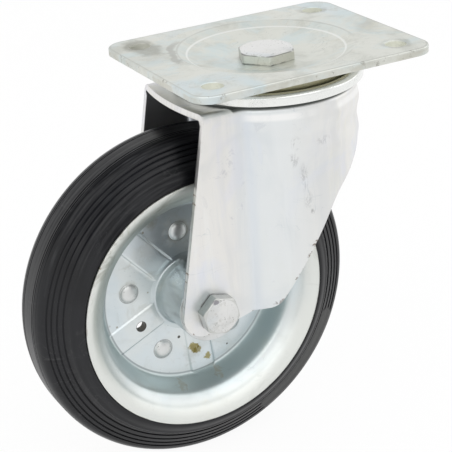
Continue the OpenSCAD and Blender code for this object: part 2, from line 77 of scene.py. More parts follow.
class Graph:
    """One material, the nodes that feed it, and its colour, roughness and normal so far."""

    def __init__(self, name, **constants):
        self.material = bpy.data.materials.new(name)
        self.material.use_nodes = True
        self.tree = self.material.node_tree
        self.shader = next(n for n in self.tree.nodes if n.type == "BSDF_PRINCIPLED")
        self.output = next(n for n in self.tree.nodes if n.type == "OUTPUT_MATERIAL")
        self.place = self.node("ShaderNodeTexCoord").outputs["Object"]
        self.colour = self.roughness = self.normal = None
        self.set(**constants)

    def plug(self, socket, value):
        if isinstance(value, Wire):
            value = value.socket
        if isinstance(value, bpy.types.NodeSocket):
            self.tree.links.new(value, socket)
        else:
            socket.default_value = value

    def node(self, kind, settings=None, inputs=None):
        made = self.tree.nodes.new(kind)
        for key, value in (settings or {}).items():
            setattr(made, key, value)
        for key, value in (inputs or {}).items():
            self.plug(made.inputs[key], value)
        return made

    def set(self, **values):
        for key, value in values.items():
            self.plug(self.shader.inputs[key.replace("_", " ")], value)

    def math(self, operation, a, b=None):
        inputs = {0: a} if b is None else {0: a, 1: b}
        return Wire(self, self.node("ShaderNodeMath", {"operation": operation}, inputs).outputs[0])

    def low(self, a, b): return self.math("MINIMUM", a, b)
    def high(self, a, b): return self.math("MAXIMUM", a, b)
    def size(self, a): return self.math("ABSOLUTE", a)
    def length(self, a, b): return self.math("SQRT", a * a + b * b)

    def step(self, value, start, end, low=0.0, high=1.0):
        """Goes smoothly from low to high while value goes from start to end."""
        made = self.node("ShaderNodeMapRange", {"interpolation_type": "SMOOTHSTEP"},
                         {"Value": value, "From Min": start, "From Max": end, "To Min": low, "To Max": high})
        return Wire(self, made.outputs["Result"])

    def band(self, value, middle, reach, core):
        """One where value is within core of the middle, none at reach."""
        return self.step(self.size(value - middle), reach, core)

    def vector(self, operation, a, b):
        return self.node("ShaderNodeVectorMath", {"operation": operation}, {0: a, 1: b}).outputs[0]

    def stretch(self, x, y, z, shift=0.0):
        """The place on the object in metres, moved by shift and then scaled along each axis."""
        moved = self.vector("ADD", self.place, (shift, 0.37 * shift, 0.61 * shift))
        return self.vector("MULTIPLY", moved, (x, y, z))

    def noise(self, scale, detail=3.0, rough=0.55, place=None, bend=0.0, shift=0.0):
        if place is None:
            place = self.stretch(1, 1, 1, shift) if shift else self.place
        made = self.node("ShaderNodeTexNoise", None,
                         {"Vector": place, "Scale": scale, "Detail": detail, "Roughness": rough, "Distortion": bend})
        return Wire(self, made.outputs[0])

    def spread(self, scale, detail, start, end, rough=0.55, **more):
        """Patches: one where the noise is past end, none where it is before start."""
        return self.step(self.noise(scale, detail, rough, **more), start, end)

    def frayed(self, value, amount, scale, detail=3.0, rough=0.55, **more):
        """The value with noise added, so that a limit set on it comes out ragged."""
        return value + (self.noise(scale, detail, rough, **more) - 0.5) * amount

    def cells(self, scale, shift):
        made = self.node("ShaderNodeTexVoronoi", None, {"Vector": self.stretch(1, 1, 1, shift), "Scale": scale})
        return Wire(self, made.outputs["Distance"])

    def axes(self):
        split = self.node("ShaderNodeSeparateXYZ", None, {0: self.place})
        return [Wire(self, split.outputs[i]) for i in range(3)]

    def stored(self, name):
        return Wire(self, self.node("ShaderNodeAttribute", {"attribute_name": name}).outputs["Fac"])

    def mix(self, a, b, amount):
        made = self.node("ShaderNodeMix", {"data_type": "RGBA", "clamp_factor": True}, {0: amount})
        colours = [s for s in made.inputs if s.type == "RGBA"]
        for socket, value in zip(colours, (a, b)):
            self.plug(socket, (*value, 1.0) if isinstance(value, tuple) else value)
        return next(s for s in made.outputs if s.type == "RGBA")

    def paint(self, tone, amount):
        """Lays a tone over the colour so far."""
        self.colour = self.mix(self.colour, tone, amount)

    def emboss(self, height, depth, strength):
        """Adds a relief of height times depth in metres to the normal so far."""
        inputs = {"Height": height, "Distance": depth, "Strength": strength}
        if self.normal is not None:
            inputs["Normal"] = self.normal
        self.normal = self.node("ShaderNodeBump", None, inputs).outputs["Normal"]

    def finished(self):
        self.set(Base_Color=self.colour, Roughness=self.roughness, Normal=self.normal)
        return self.material


# ---------------------------------------------------------------- meshes
def shaped(name, points, faces, finish=None, values=None):
    """An object from points in millimetres; finish works on its mesh before the normals are set."""
    mesh = bpy.data.meshes.new(name)
    mesh.from_pydata([tuple(float(c) * MM for c in p) for p in points], [], faces)
    for key, data in (values or {}).items():
        mesh.attributes.new(key, "FLOAT", "POINT").data.foreach_set("value", data.astype(np.float32))
    work = bmesh.new()
    work.from_mesh(mesh)
    if finish:
        finish(work)
    bmesh.ops.recalc_face_normals(work, faces=work.faces)
    work.to_mesh(mesh)
    work.free()
    piece = bpy.data.objects.new(name, mesh)
    bpy.context.scene.collection.objects.link(piece)
    return piece


def welded(work):
    bmesh.ops.remove_doubles(work, verts=work.verts, dist=1e-7)
    bmesh.ops.dissolve_degenerate(work, dist=1e-7, edges=work.edges)


def dress(piece, material, body, node, smooth=30):
    """Gives a piece its material and body, and lets it stand for its CAD node."""
    piece.data.materials.clear()
    piece.data.materials.append(material)
    soften(piece, smooth)
    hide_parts(node)
    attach(piece, body)
    return piece


def soften(piece, angle):
    piece.data.shade_smooth()
    if angle:
        piece.data.set_sharp_from_angle(angle=math.radians(angle))


def build(name, points, faces, material, slot, body, node, smooth=30):
    return dress(shaped(name, points, faces, welded), material, body, node, smooth)


def drill(piece, radius, x, z, length, sides, bevel=0.0):
    """Cuts a round hole along Y through the piece, then bevels the piece's cut edges if asked."""
    bpy.ops.mesh.primitive_cylinder_add(vertices=sides, radius=radius * MM, depth=length * MM,
                                        location=(x * MM, 0, z * MM), rotation=(math.pi / 2, 0, 0))
    tool = bpy.context.object
    cut = piece.modifiers.new("hole", "BOOLEAN")
    cut.operation, cut.solver, cut.object = "DIFFERENCE", "EXACT", tool
    if bevel:
        soft = piece.modifiers.new("cut_edges", "BEVEL")
        soft.width, soft.segments, soft.limit_method, soft.angle_limit = bevel * MM, 2, "ANGLE", math.radians(55)
    mesh = bpy.data.meshes.new_from_object(piece.evaluated_get(bpy.context.evaluated_depsgraph_get()))
    piece.modifiers.clear()
    old, piece.data = piece.data, mesh
    bpy.data.meshes.remove(old)
    bpy.data.objects.remove(tool)


def grid_faces(rows, columns, base=0, closed=False):
    """Faces between rings of points that follow one another; closed joins the last ring to the first."""
    pairs = [(base + i * columns, base + (i + 1) * columns) for i in range(rows - 1)]
    if closed:
        pairs.append((base + (rows - 1) * columns, base))
    return [(a + k, a + (k + 1) % columns, b + (k + 1) % columns, b + k) for a, b in pairs for k in range(columns)]


def loft(a, b):
    """Faces between two closed loops of point numbers of equal length."""
    n = len(a)
    return [(a[k], a[(k + 1) % n], b[(k + 1) % n], b[k]) for k in range(n)]


def round_path(points, default=0.0, steps=6, closed=True):
    """The path with its corners rounded. A point may carry its own radius as a third number."""
    done, n = [], len(points)
    for i, p in enumerate(points):
        r = p[2] if len(p) > 2 else default
        here = np.array(p[:2], float)
        if r <= 0 or (not closed and i in (0, n - 1)):
            done.append(tuple(here))
            continue
        u = np.array(points[i - 1][:2], float) - here
        v = np.array(points[(i + 1) % n][:2], float) - here
        lu, lv = np.linalg.norm(u), np.linalg.norm(v)
        u, v = u / lu, v / lv
        half = math.acos(max(-1.0, min(1.0, float(u @ v)))) / 2
        if half > math.radians(89.5):
            done.append(tuple(here))
            continue
        reach = min(r / math.tan(half), 0.48 * lu, 0.48 * lv)
        r = reach * math.tan(half)
        middle = here + (u + v) / np.linalg.norm(u + v) * r / math.sin(half)
        s, e = here + u * reach - middle, here + v * reach - middle
        turn = math.atan2(s[0] * e[1] - s[1] * e[0], float(s @ e))
        for j in range(steps + 1):
            t = turn * j / steps
            done.append((middle[0] + s[0] * math.cos(t) - s[1] * math.sin(t),
                         middle[1] + s[0] * math.sin(t) + s[1] * math.cos(t)))
    return done


def upright(r, turn, height):
    return r * np.cos(turn), r * np.sin(turn), height


def on_axle(r, turn, along):
    """Wheel co-ordinates: turn goes from +X towards +Z, along is measured on +Y."""
    return AXLE_X + r * np.cos(turn), along, AXLE_Z + r * np.sin(turn)


def all_round(columns):
    return np.linspace(0, 2 * math.pi, columns, endpoint=False)


def rings(rows, columns, place, closed=False):
    """Points and faces of rings given by radius and height, each one number or one for every column."""
    turns = all_round(columns)
    points = [p for r, h in rows for p in zip(*place(r + 0 * turns, turns, h + 0 * turns))]
    return points, grid_faces(len(rows), columns, closed=closed)


def lathe(name, section, material, slot, body, node, columns=144, place=upright, smooth=30):
    """Turns a closed section of (radius, height) points."""
    return build(name, *rings(section, columns, place, True), material, slot, body, node, smooth)


def hexagon(turns, af, turned):
    """Radius of a hexagon with slightly rounded corners."""
    local = math.pi / 6 - np.abs((turns - turned + math.pi / 6) % (math.pi / 3) - math.pi / 6)
    flat, peak = af / 2 / np.cos(local), af / 2 / math.cos(math.pi / 6) - 0.21
    return -0.18 * np.logaddexp(-flat / 0.18, -peak / 0.18)


def hex_points(af, low, high, turned, place, top_dip=0.0, hole=0.0):
    """A hexagon bar from its lower face to its chamfered upper one, dished on top or bored through."""
    columns = 180
    outer = hexagon(all_round(columns), af, turned)
    way = 1.0 if high > low else -1.0
    top_r = 0.475 * af
    drop = np.maximum((outer - top_r) * math.tan(math.radians(27)), 0.12)
    rows = [(outer - 0.35, low), (outer - 0.06, low + way * 0.08), (outer, low + way * 0.35),
            (outer, high - way * (drop + 0.35)), (outer - 0.03, high - way * (drop + 0.1)),
            (outer - 0.16, high - way * np.maximum(drop - 0.02, 0.06))]
    for f in (0.25, 0.6):
        rows.append((outer * (1 - f) + (top_r + 0.15) * f - 0.1, high - way * np.maximum(drop * (1 - f), 0.04)))
    rows += [(top_r - 0.1, high - way * 0.05), (top_r - 0.45, high)]
    if hole:
        rows += [(hole + 0.9, high), (hole, high - way * 0.9), (hole, low + way * 0.9), (hole + 0.9, low), rows[0]]
    else:
        rows += [(top_r * f, high - way * top_dip * min(1.0, (1 - f) / 0.2)) for f in (0.9, 0.8, 0.5, 0.2, 0.0)]
        rows.insert(0, (0.0, low))
    return rings(rows, columns, place)


def thread_points(radius, start, end, pitch, place):
    """A threaded length from start to end, with its end chamfered and closed."""
    depth, columns = 0.6 * pitch, 72
    length, way = abs(end - start), 1.0 if end > start else -1.0
    count = max(8, int(length / pitch * 10))
    rows = [(0.0, start)]
    for i in range(count + 1):
        s = length * i / count
        wave = np.abs(((s / pitch - all_round(columns) / (2 * math.pi)) % 1.0) * 2 - 1)
        r = radius - depth * np.clip(wave * 1.25 - 0.12, 0, 1)
        rows.append((np.minimum(r, radius - depth - 0.36 + (length - s) * 0.9), start + way * s))
    return rings(rows + [(radius - depth - 1.2, end), (0.0, end)], columns, place)


def joined(*parts):
    points, faces = [], []
    for part in parts:
        base = len(points)
        points += part[0]
        faces += [tuple(base + i for i in f) for f in part[1]]
    return points, faces


# ---------------------------------------------------------------- materials
STEEL_IOR = 1.5


def zinc(name, tint, dark, blue, yellow, rough=0.34, metal=0.9, mottle=1.0, scratch=1.0, grain=1.0, speck=0.7,
         marks=None):
    """Bright zinc plating: tint with cloudy colour, fine scratches and small dark specks."""
    g = Graph(name, IOR=STEEL_IOR, Metallic=metal)
    cloud, fine = g.noise(26, 4, 0.6, bend=0.6), g.noise(420, 3, 0.6, shift=5.2)
    patch = g.noise(17, 3, 0.5, shift=3.1, bend=1.2)
    smear = g.noise(38, 5, 0.62, place=g.stretch(1, 1, 0.45, 1.7), bend=0.8)
    specks = g.step(g.cells(520, 2.2), 0.2, 0.1) * g.spread(60, 2, 0.5, 0.66, shift=8.0)
    upright_lines = g.band(g.noise(60, 2, 0.5, place=g.stretch(1, 1, 0.14, 4.4), bend=2.2), 0.5, 0.007, 0.002)
    level_lines = g.band(g.noise(75, 2, 0.5, place=g.stretch(0.2, 1, 1, 9.4), bend=1.6), 0.5, 0.006, 0.0015)
    scratches = g.high(upright_lines, level_lines) * g.spread(45, 2, 0.52, 0.64, shift=6.6) * scratch
    g.colour = tint
    g.paint(dark, g.step(cloud, 0.5, 0.74, 0.0, 0.55 * mottle))
    g.paint(blue, g.step(patch, 0.5, 0.68, 0.0, 0.75 * mottle))
    g.paint(yellow, g.step(smear, 0.56, 0.72, 0.0, 0.5 * mottle))
    g.paint(dark, specks * speck)
    g.paint(dark, scratches * 0.45)
    g.roughness = rough + (cloud - 0.5) * 0.22 + (fine - 0.5) * 0.16 * grain + scratches * 0.1
    g.emboss(fine, 0.00004 * grain, 0.35)
    g.emboss(g.noise(55, 3, 0.5, shift=1.3), 0.0005, 0.25)
    if marks:
        marks(g, *g.axes())
    return g.finished()


# painted highlight: radius of a thin light ring on the dish's step; and the dish's own edge
DISH_HIGHLIGHT_RING, DISH_EDGE = 0.0408, 0.0457


def plate_marks(g, x, y, z):
    """Tarnish, blue-green patches, a painted highlight ring in the dish, worn hole edges, nicked borders with painted
    shade along the rounded edge, and the side face darkened by grime and painted shade.
    """
    far = g.length(x, y)
    tarnish = g.spread(62, 6, 0.46, 0.68, 0.72, shift=23.0, bend=0.7)
    g.paint((0.53, 0.54, 0.49), tarnish * 0.5)
    g.paint((0.58, 0.70, 0.73), g.spread(24, 5, 0.48, 0.66, 0.66, place=g.stretch(1, 1.4, 1, 31.0), bend=0.8) * 0.5)
    # painted highlight: a thin light ring on the dish's step
    g.paint((0.86, 0.87, 0.85), g.band(far, DISH_HIGHLIGHT_RING, 0.0008, 0.0002) * 0.7)
    g.paint((0.50, 0.51, 0.48), g.band(far, DISH_EDGE, 0.0007, 0.0002) * g.spread(25, 2, 0.4, 0.6, shift=9.0) * 0.6)
    hole = g.length(g.size(x) - PLATE["pitch_x"] / 2 * MM, g.size(y) - PLATE["pitch_y"] / 2 * MM)
    worn = g.step(g.frayed(hole, 0.006, 160, shift=2.0), 0.0095, 0.0065)
    g.paint((0.40, 0.40, 0.36), worn * g.spread(60, 2, 0.4, 0.6, shift=4.0) * 0.5)
    inside = g.step(hole, 0.0059, 0.0056) * g.step(z, -0.0002, -0.0009)
    g.paint((0.66, 0.67, 0.58), inside)
    g.set(Metallic=0.9 - inside * 0.6)
    stain = g.math("SQRT", (x + 0.052) ** 2.0 * 2.2 + (y - 0.036) ** 2.0 * 0.5)
    stain = g.step(g.frayed(stain, 0.02, 110, 4, shift=7.0), 0.016, 0.008)
    g.paint((0.38, 0.38, 0.34), stain * 0.6)
    arc = g.band(g.frayed(far, 0.007, 120, 4, 0.7, shift=12.0), 0.0485, 0.0026, 0.0010)
    g.paint((0.40, 0.40, 0.37), arc * g.band(y, 0.017, 0.021, 0.012) * g.step(x, -0.02, -0.035) * 0.65)
    corner_x, corner_y = [(PLATE[key] / 2 - PLATE["corner"]) * MM for key in ("length", "width")]
    border = g.length(g.high(g.size(x) - corner_x, 0.0), g.high(g.size(y) - corner_y, 0.0)) - PLATE["corner"] * MM
    # painted shade: a darker line along the plate's rounded top edge
    g.paint((0.45, 0.46, 0.43), g.step(border, -0.0016, -0.0010) * g.step(border, -0.0002, -0.0007) * 0.5)
    g.paint((0.30, 0.29, 0.25), g.spread(230, 4, 0.60, 0.66, 0.7, shift=41.0) * g.step(border, -0.0016, -0.0004) * 0.6)
    # the side face darkened in patches: grime, and painted shade of the side
    side_dirt_and_shade = g.step(z, -0.0008, -0.0014) * g.step(border, -0.0008, -0.0003) * g.spread(80, 4, 0.45, 0.62, shift=33.0)
    g.paint((0.55, 0.54, 0.47), side_dirt_and_shade * 0.55)
    g.roughness = g.roughness + worn * 0.12 + stain * 0.1 + tarnish * 0.06


# height of a chip on the hood's rear cut edge and its half length, in mm
EDGE_CHIPS = ((-93.6, 1.7), (-100.0, 1.4), (-111.6, 0.9), (-123.8, 1.9))
# place across and up on the near side of the fork, half width and half height in mm, strength
FORK_SCUFFS = ((-10.5, -38.0, 3.2, 4.0, 0.32), (-12.6, -46.8, 3.6, 4.5, 0.4), (-7.2, -56.5, 2.6, 9.0, 0.38),
               (5.0, -39.2, 5.0, 2.5, 0.34), (-5.5, -69.0, 2.6, 6.0, 0.28), (-3.1, -75.8, 1.4, 2.0, 0.7))


def chip_edges(g, x, y, z):
    """Plating chipped off along cut edges, down to brown steel."""
    edge = g.stored("edge")
    low_down = g.high(g.step(x, -0.045, -0.02) * g.step(z, -0.045, -0.06, 0.0, 1.3), g.step(z, -0.045, -0.06))
    chips = g.step(g.frayed(edge, 1.3, 260, 4, 0.7, shift=2.7), 0.93, 1.03)
    chips = chips * g.spread(70, 3, 0.50, 0.55, shift=11.0) * low_down
    bitten = g.step(g.frayed(edge, 2.2, 420, 4, 0.7, shift=14.0), 0.46, 0.6)
    bitten = bitten * g.step(y, -0.02, -0.03) * g.step(x, -0.045, -0.03)
    for height, reach in EDGE_CHIPS:
        chips = g.high(chips, g.band(z, height * MM, reach * MM, reach * MM * 0.6) * bitten)
    g.paint((0.2, 0.13, 0.075), chips * 0.9)
    g.paint((0.5, 0.47, 0.42), g.step(g.frayed(edge, 0.7, 120, shift=5.5), 0.6, 1.1) * 0.16)
    g.roughness = g.roughness + chips * 0.35
    g.emboss(1.0 - chips, 0.00008, 0.6)


def fork_marks(g, x, y, z):
    """Chips, upright streaks, painted shade along the crease and on the hood past it, a painted highlight on the hood's
    bend, painted shadow under the ring band and painted shade round it on the crown, the shaded inside and scuffs on
    the near side.
    """
    chip_edges(g, x, y, z)
    streak = g.noise(70, 4, 0.65, place=g.stretch(1, 1, 0.1, 45.0), bend=0.4)
    g.paint((0.68, 0.69, 0.70), g.step(streak, 0.52, 0.66) * 0.45)
    g.paint((0.86, 0.86, 0.84), g.step(streak, 0.46, 0.36) * 0.4)
    blotch = g.spread(95, 5, 0.58, 0.66, 0.72, shift=52.0, bend=1.0) * g.spread(21, 2, 0.5, 0.6, shift=61.0)
    g.paint((0.52, 0.52, 0.55), blotch * 0.45)
    patch = g.spread(30, 4, 0.54, 0.68, 0.6, place=g.stretch(1, 1, 0.6, 15.0), bend=1.0)
    g.paint((0.73, 0.74, 0.83), patch * g.step(z, -0.12, -0.05) * 0.4)
    g.paint((0.79, 0.79, 0.70), g.step(z, -0.09, -0.125) * g.spread(48, 3, 0.45, 0.6, shift=21.0) * 0.3)
    # painted shade: a cool darker line along the crease
    crease = g.frayed(g.stored("crease"), 0.4, 90, place=g.stretch(1, 1, 0.25, 7.0))
    g.paint((0.62, 0.65, 0.72), g.step(crease, 0.1, 1.0) * 0.48)
    # painted shade: the hood past the crease, turned from the light, tinted cooler and darker, most near the crease
    g.paint((0.70, 0.76, 0.80), g.step(x, -0.046, -0.030) * g.step(x, 0.02, -0.03, 0.03, 0.5))
    # painted highlight: a light strip on the hood's bend just under the ring band
    strip = g.band(z, -0.0232, 0.0026, 0.0008) * g.spread(38, 3, 0.36, 0.52, place=g.stretch(1, 1, 0.3, 58.0))
    g.paint((0.93, 0.93, 0.92), strip * g.step(x, -0.036, -0.028) * 0.8)
    far = g.length(x, y)
    # painted shadow: a black line on the hood just under the ring band
    g.paint((0.03, 0.035, 0.03), g.step(far, 0.0503, 0.0494) * g.step(z, -0.0200, -0.0186) * 0.9)
    inner_leg = g.step(g.size(y), 0.0302, 0.0296) * g.step(x, -0.030, -0.034)
    inner_hood = g.step(far, 0.0437, 0.0431) * g.step(x, -0.036, -0.032)
    g.paint((0.22, 0.23, 0.24), g.high(inner_leg, inner_hood) * g.step(z, -0.0200, -0.0212) * 0.7)
    # painted shade: the crown's top darkened round the ring band
    g.paint((0.40, 0.42, 0.41), g.step(z, -0.0180, -0.0174) * g.step(far, 0.0525, 0.0497) * 0.6)
    scratch = g.noise(170, 5, 0.75, place=g.stretch(1, 1, 0.45, 33.0), bend=0.8) - 0.5
    vein = g.step(g.size(scratch), 0.055, 0.008)
    for across, height, half_w, half_h, depth in FORK_SCUFFS:
        gap = g.length((x - across * MM) / (half_w * MM), (z - height * MM) / (half_h * MM))
        if half_w < 2.0:
            vein = g.high(vein, g.step(gap + scratch * 6.0, 0.6, 0.3))
        g.paint((0.30, 0.30, 0.31), g.step(gap, 1.1, 0.35) * g.step(y, -0.02, -0.03) * vein * depth)


OLIVE, BROWN, DARK_SPOT = (0.36, 0.30, 0.07), (0.36, 0.32, 0.23), (0.05, 0.045, 0.03)
# tone, distance from the axle and angle on the web in mm and degrees, reach in mm, frayed edge, strength
RIM_STAINS = ((OLIVE, 34.0, -90.5, 3.0, 3.4, 0.85), (OLIVE, 36.5, -86.5, 2.0, 3.4, 0.7),
              (OLIVE, 42.3, -78.9, 2.4, 3.6, 0.8), (BROWN, 51.4, -77.5, 2.4, 4.6, 0.5),
              (BROWN, 51.8, -103.0, 2.6, 4.6, 0.42), (DARK_SPOT, 27.2, -106.5, 0.9, 0.4, 0.9),
              (BROWN, 38.0, -92.0, 7.5, 2.8, 0.16), (BROWN, 36.0, 98.0, 9.0, 3.2, 0.22),
              (DARK_SPOT, 44.0, -62.0, 0.6, 0.6, 0.8), (BROWN, 37.0, 128.0, 6.5, 3.2, 0.16),
              (DARK_SPOT, 51.5, 86.0, 0.9, 1.5, 0.8))


def rim_marks(g, x, y, z):
    """Brown water stains, painted shade at the foot of the wall, along the web's edge and in the drain hole, grime
    heavier at the top of the web with painted shade there, and the rolled edge painted lighter.
    """
    dx, dz = x - AXLE_X * MM, z - AXLE_Z * MM
    far = g.length(dx, dz)

    def from_spot(r, degrees):
        """Distance from a spot on the web, given in millimetres from the axle and degrees about it."""
        a = math.radians(degrees)
        return g.length(dx - r * MM * math.cos(a), dz - r * MM * math.sin(a))

    # painted shade: the foot of the wall darkened to teal
    g.paint((0.33, 0.43, 0.43), g.step(far, 0.0478, 0.050) * g.step(far, 0.0575, 0.0525) * 0.6)
    roll = g.step(far, 0.056, 0.063)
    g.paint((0.78, 0.79, 0.75), roll * 0.8)
    g.paint((0.64, 0.72, 0.77), g.step(far, 0.0485, 0.047) * g.spread(40, 3, 0.35, 0.6, shift=3.0) * 0.5)
    # grime in patches, heavier toward the top of the web, where it is also painted shade
    dirt_and_shade = g.spread(36, 5, 0.52, 0.66, 0.68, shift=66.0, bend=1.2)
    g.paint((0.42, 0.43, 0.38), dirt_and_shade * g.step(dz, -0.012, 0.02, 0.18, 0.75))
    shade = g.step(dz - dx * 0.5, 0.0, 0.045) * g.step(far, 0.049, 0.052) * g.step(far, 0.0655, 0.0625)
    g.paint((0.42, 0.45, 0.41), shade * 0.6)
    # painted shadow: a thin dark line where the web meets the wall
    g.paint((0.16, 0.20, 0.22), g.band(far, 0.0484, 0.0007, 0.0002) * 0.6)
    rivet = 1.0
    for k in range(RIVETS):
        rivet = g.low(from_spot(RIVET_CIRCLE, RIVET_START + SECTOR * k), rivet)
    outline = g.band(rivet, 0.0051, 0.0007, 0.0002) * g.step(g.noise(90, 2, shift=37.0), 0.3, 0.5, 0.35, 1.0)
    g.paint((0.15, 0.16, 0.16), outline * 0.7)
    halo = g.step(g.frayed(rivet, 0.004, 200, 4, 0.7, shift=77.0), 0.0075, 0.0055)
    g.paint((0.42, 0.42, 0.36), halo * g.spread(120, 3, 0.4, 0.6, shift=81.0) * g.step(dz, 0.0, 0.02, 0.1, 0.5))
    ragged = g.noise(230, 4, 0.7, shift=9.0, bend=0.6) - 0.5
    for tone, r, turn, reach, fray, depth in RIM_STAINS:
        spot = g.step(from_spot(r, turn) / (reach * MM) + ragged * fray, 1.05, 0.3 if tone == BROWN else 0.75)
        g.paint(tone, spot * depth)
        g.roughness = g.roughness + spot * 0.2
    drops = g.step(g.cells(150, 6.0), 0.14, 0.08) * g.spread(33, 2, 0.60, 0.64, shift=27.0)
    g.paint((0.21, 0.16, 0.07), drops * 0.7)
    scrape = g.spread(150, 3, 0.6, 0.68, place=g.stretch(1, 1, 0.16))
    g.paint((0.50, 0.52, 0.42), scrape * g.step(far, 0.047, 0.050) * g.step(dz, 0.03, 0.045) * 0.6)
    # painted shade: the drain hole's edge and wall darkened
    g.paint((0.035, 0.03, 0.02), g.step(from_spot(DRAIN["circle"], DRAIN["angle"]), 0.0031, 0.00285) * 0.95)
    chips = g.step(g.frayed(far, 0.0016, 200, shift=1.0), 0.0676, 0.0682)
    g.paint((0.32, 0.30, 0.26), chips * g.spread(60, 2, 0.5, 0.6, shift=17.0) * 0.6)
    g.roughness = g.roughness + drops * 0.2 + roll * 0.1


def speckle(g, x, y, z):
    """Small dark spots and fine pits."""
    spots = g.step(g.cells(650, 3.7), 0.24, 0.12) * g.spread(190, 2, 0.46, 0.6, shift=4.0)
    g.paint((0.24, 0.25, 0.22), spots * 0.75)
    g.roughness = g.roughness + spots * 0.2
    g.emboss(g.noise(330, 3, 0.6, shift=8.8), 0.00012, 0.4)


def worn_flats(g, x, y, z):
    """Speckled face of a bolt head, with darker flats and a scuffed edge between them, painted shade on the flats'
    upper left and at the head's foot, with grime.
    """
    speckle(g, x, y, z)
    worn, at_axle = g.spread(140, 3, 0.40, 0.55, shift=71.0), g.step(z, -0.08, -0.09)
    dx, dz = x - AXLE_X * MM, z - AXLE_Z * MM
    flats = g.step(y, -0.0390, -0.0384) * g.step(y, -0.031, -0.0325) * at_axle
    g.paint((0.44, 0.46, 0.43), flats * 0.5)
    # painted shade: the flats on the head's upper left darkened
    g.paint((0.20, 0.24, 0.23), flats * g.step((dz - dx) * math.sqrt(0.5), 0.0086, 0.0092) * 0.7)
    face = g.step(y, -0.0380, -0.0386) * at_axle
    g.paint((0.52, 0.53, 0.50), face * g.step(g.length(dx, dz), 0.0088, 0.0092) * 0.6)
    notch = g.frayed(g.length(dx + 0.0031, (dz - 0.0086) * 1.5), 0.0024, 500, shift=83.0)
    g.paint((0.20, 0.19, 0.22), g.step(notch, 0.0021, 0.0013) * face * 0.75)
    mottled = g.spread(420, 4, 0.52, 0.62, 0.7, shift=91.0) * g.spread(150, 2, 0.45, 0.6, shift=92.0)
    g.paint((0.50, 0.49, 0.46), mottled * face * 0.45)
    # painted shade in patches where the axle head sits on the leg, with grime
    foot = g.step(y, -0.0335, -0.0330) * g.step(y, -0.031, -0.0323) * at_axle
    g.paint((0.06, 0.06, 0.055), foot * worn * 0.8)
    g.paint((0.48, 0.48, 0.40), g.step(z, -0.0017, -0.0023) * g.step(z, -0.03, -0.02) * 0.6)
    axle_edge = g.band(y, -0.0388, 0.0004, 0.0001) * at_axle * 0.4
    # the lower line, at the king head's foot on the dish, is painted shade with grime
    king_edge = g.high(g.band(z, -0.0019, 0.0004, 0.0001), g.band(z, -0.0064, 0.0005, 0.0002))
    g.paint((0.10, 0.10, 0.09), g.high(axle_edge, king_edge) * worn * 0.7)


ZINC_PLATE = zinc("zinc_plate", (0.70, 0.71, 0.66), (0.44, 0.46, 0.43), (0.62, 0.70, 0.73), (0.68, 0.66, 0.55),
                  rough=0.36, marks=plate_marks)
ZINC_RING = zinc("zinc_ring", (0.86, 0.87, 0.85), (0.50, 0.51, 0.50), (0.66, 0.72, 0.76), (0.66, 0.66, 0.55),
                 rough=0.24, mottle=0.6)
ZINC_FORK = zinc("zinc_fork", (0.81, 0.80, 0.775), (0.56, 0.59, 0.61), (0.70, 0.74, 0.84), (0.78, 0.77, 0.68),
                 mottle=0.8, speck=0.2, grain=0.4, marks=fork_marks)
ZINC_RIM = zinc("zinc_rim", (0.70, 0.74, 0.74), (0.48, 0.54, 0.55), (0.61, 0.70, 0.74), (0.68, 0.68, 0.59),
                rough=0.36, mottle=0.8, grain=0.4, marks=rim_marks)
ZINC_RIVET = zinc("zinc_rivet", (0.72, 0.73, 0.72), (0.38, 0.38, 0.36), (0.60, 0.66, 0.70), (0.66, 0.63, 0.55),
                  rough=0.46, mottle=1.6, marks=speckle)
ZINC_HUB = zinc("zinc_hub", (0.59, 0.65, 0.66), (0.34, 0.38, 0.41), (0.48, 0.56, 0.65), (0.56, 0.56, 0.48), rough=0.3)
ZINC_BOLT = zinc("zinc_bolt", (0.74, 0.74, 0.73), (0.40, 0.42, 0.40), (0.65, 0.70, 0.74), (0.72, 0.71, 0.60),
                 marks=speckle)
ZINC_HEAD = zinc("zinc_bolt_head", (0.76, 0.76, 0.75), (0.40, 0.42, 0.40), (0.65, 0.70, 0.74), (0.72, 0.71, 0.60),
                 rough=0.32, marks=worn_flats)
YELLOW_ZINC = zinc("yellow_zinc", (0.40, 0.38, 0.25), (0.16, 0.16, 0.11), (0.38, 0.43, 0.38), (0.52, 0.43, 0.19),
                   rough=0.38, marks=speckle)
BARE_STEEL = zinc("bare_steel", (0.48, 0.48, 0.48), (0.29, 0.28, 0.25), (0.48, 0.49, 0.52), (0.43, 0.38, 0.31),
                  rough=0.3, metal=1.0)
BEARING_STEEL = zinc("bearing_steel", (0.55, 0.55, 0.56), (0.38, 0.38, 0.38), (0.52, 0.54, 0.56), (0.48, 0.43, 0.38),
                     rough=0.14, metal=1.0, grain=0.3, scratch=0.3)

# radius and distance from the wheel's middle plane of each ring groove in the side wall, in mm
GROOVES = ((77.6, 16.55), (80.4, 15.3), (83.0, 14.1), (85.3, 13.2))
# plain panel in the near side wall: angle of its middle and half its length in radians, its radius and width in mm
PAD = dict(middle=math.radians(-43.4), half=math.radians(23.4), r=82.2, width=7.6)
PAD_STRAIGHT = PAD["half"] * PAD["r"] - PAD["width"] / 2
# places across the tread of the fine lines that the mould left, in mm; they are darkened as painted shade
CROWN_LINES = (-9.0, -7.9, -6.7, -5.0, -2.6, 0.4)


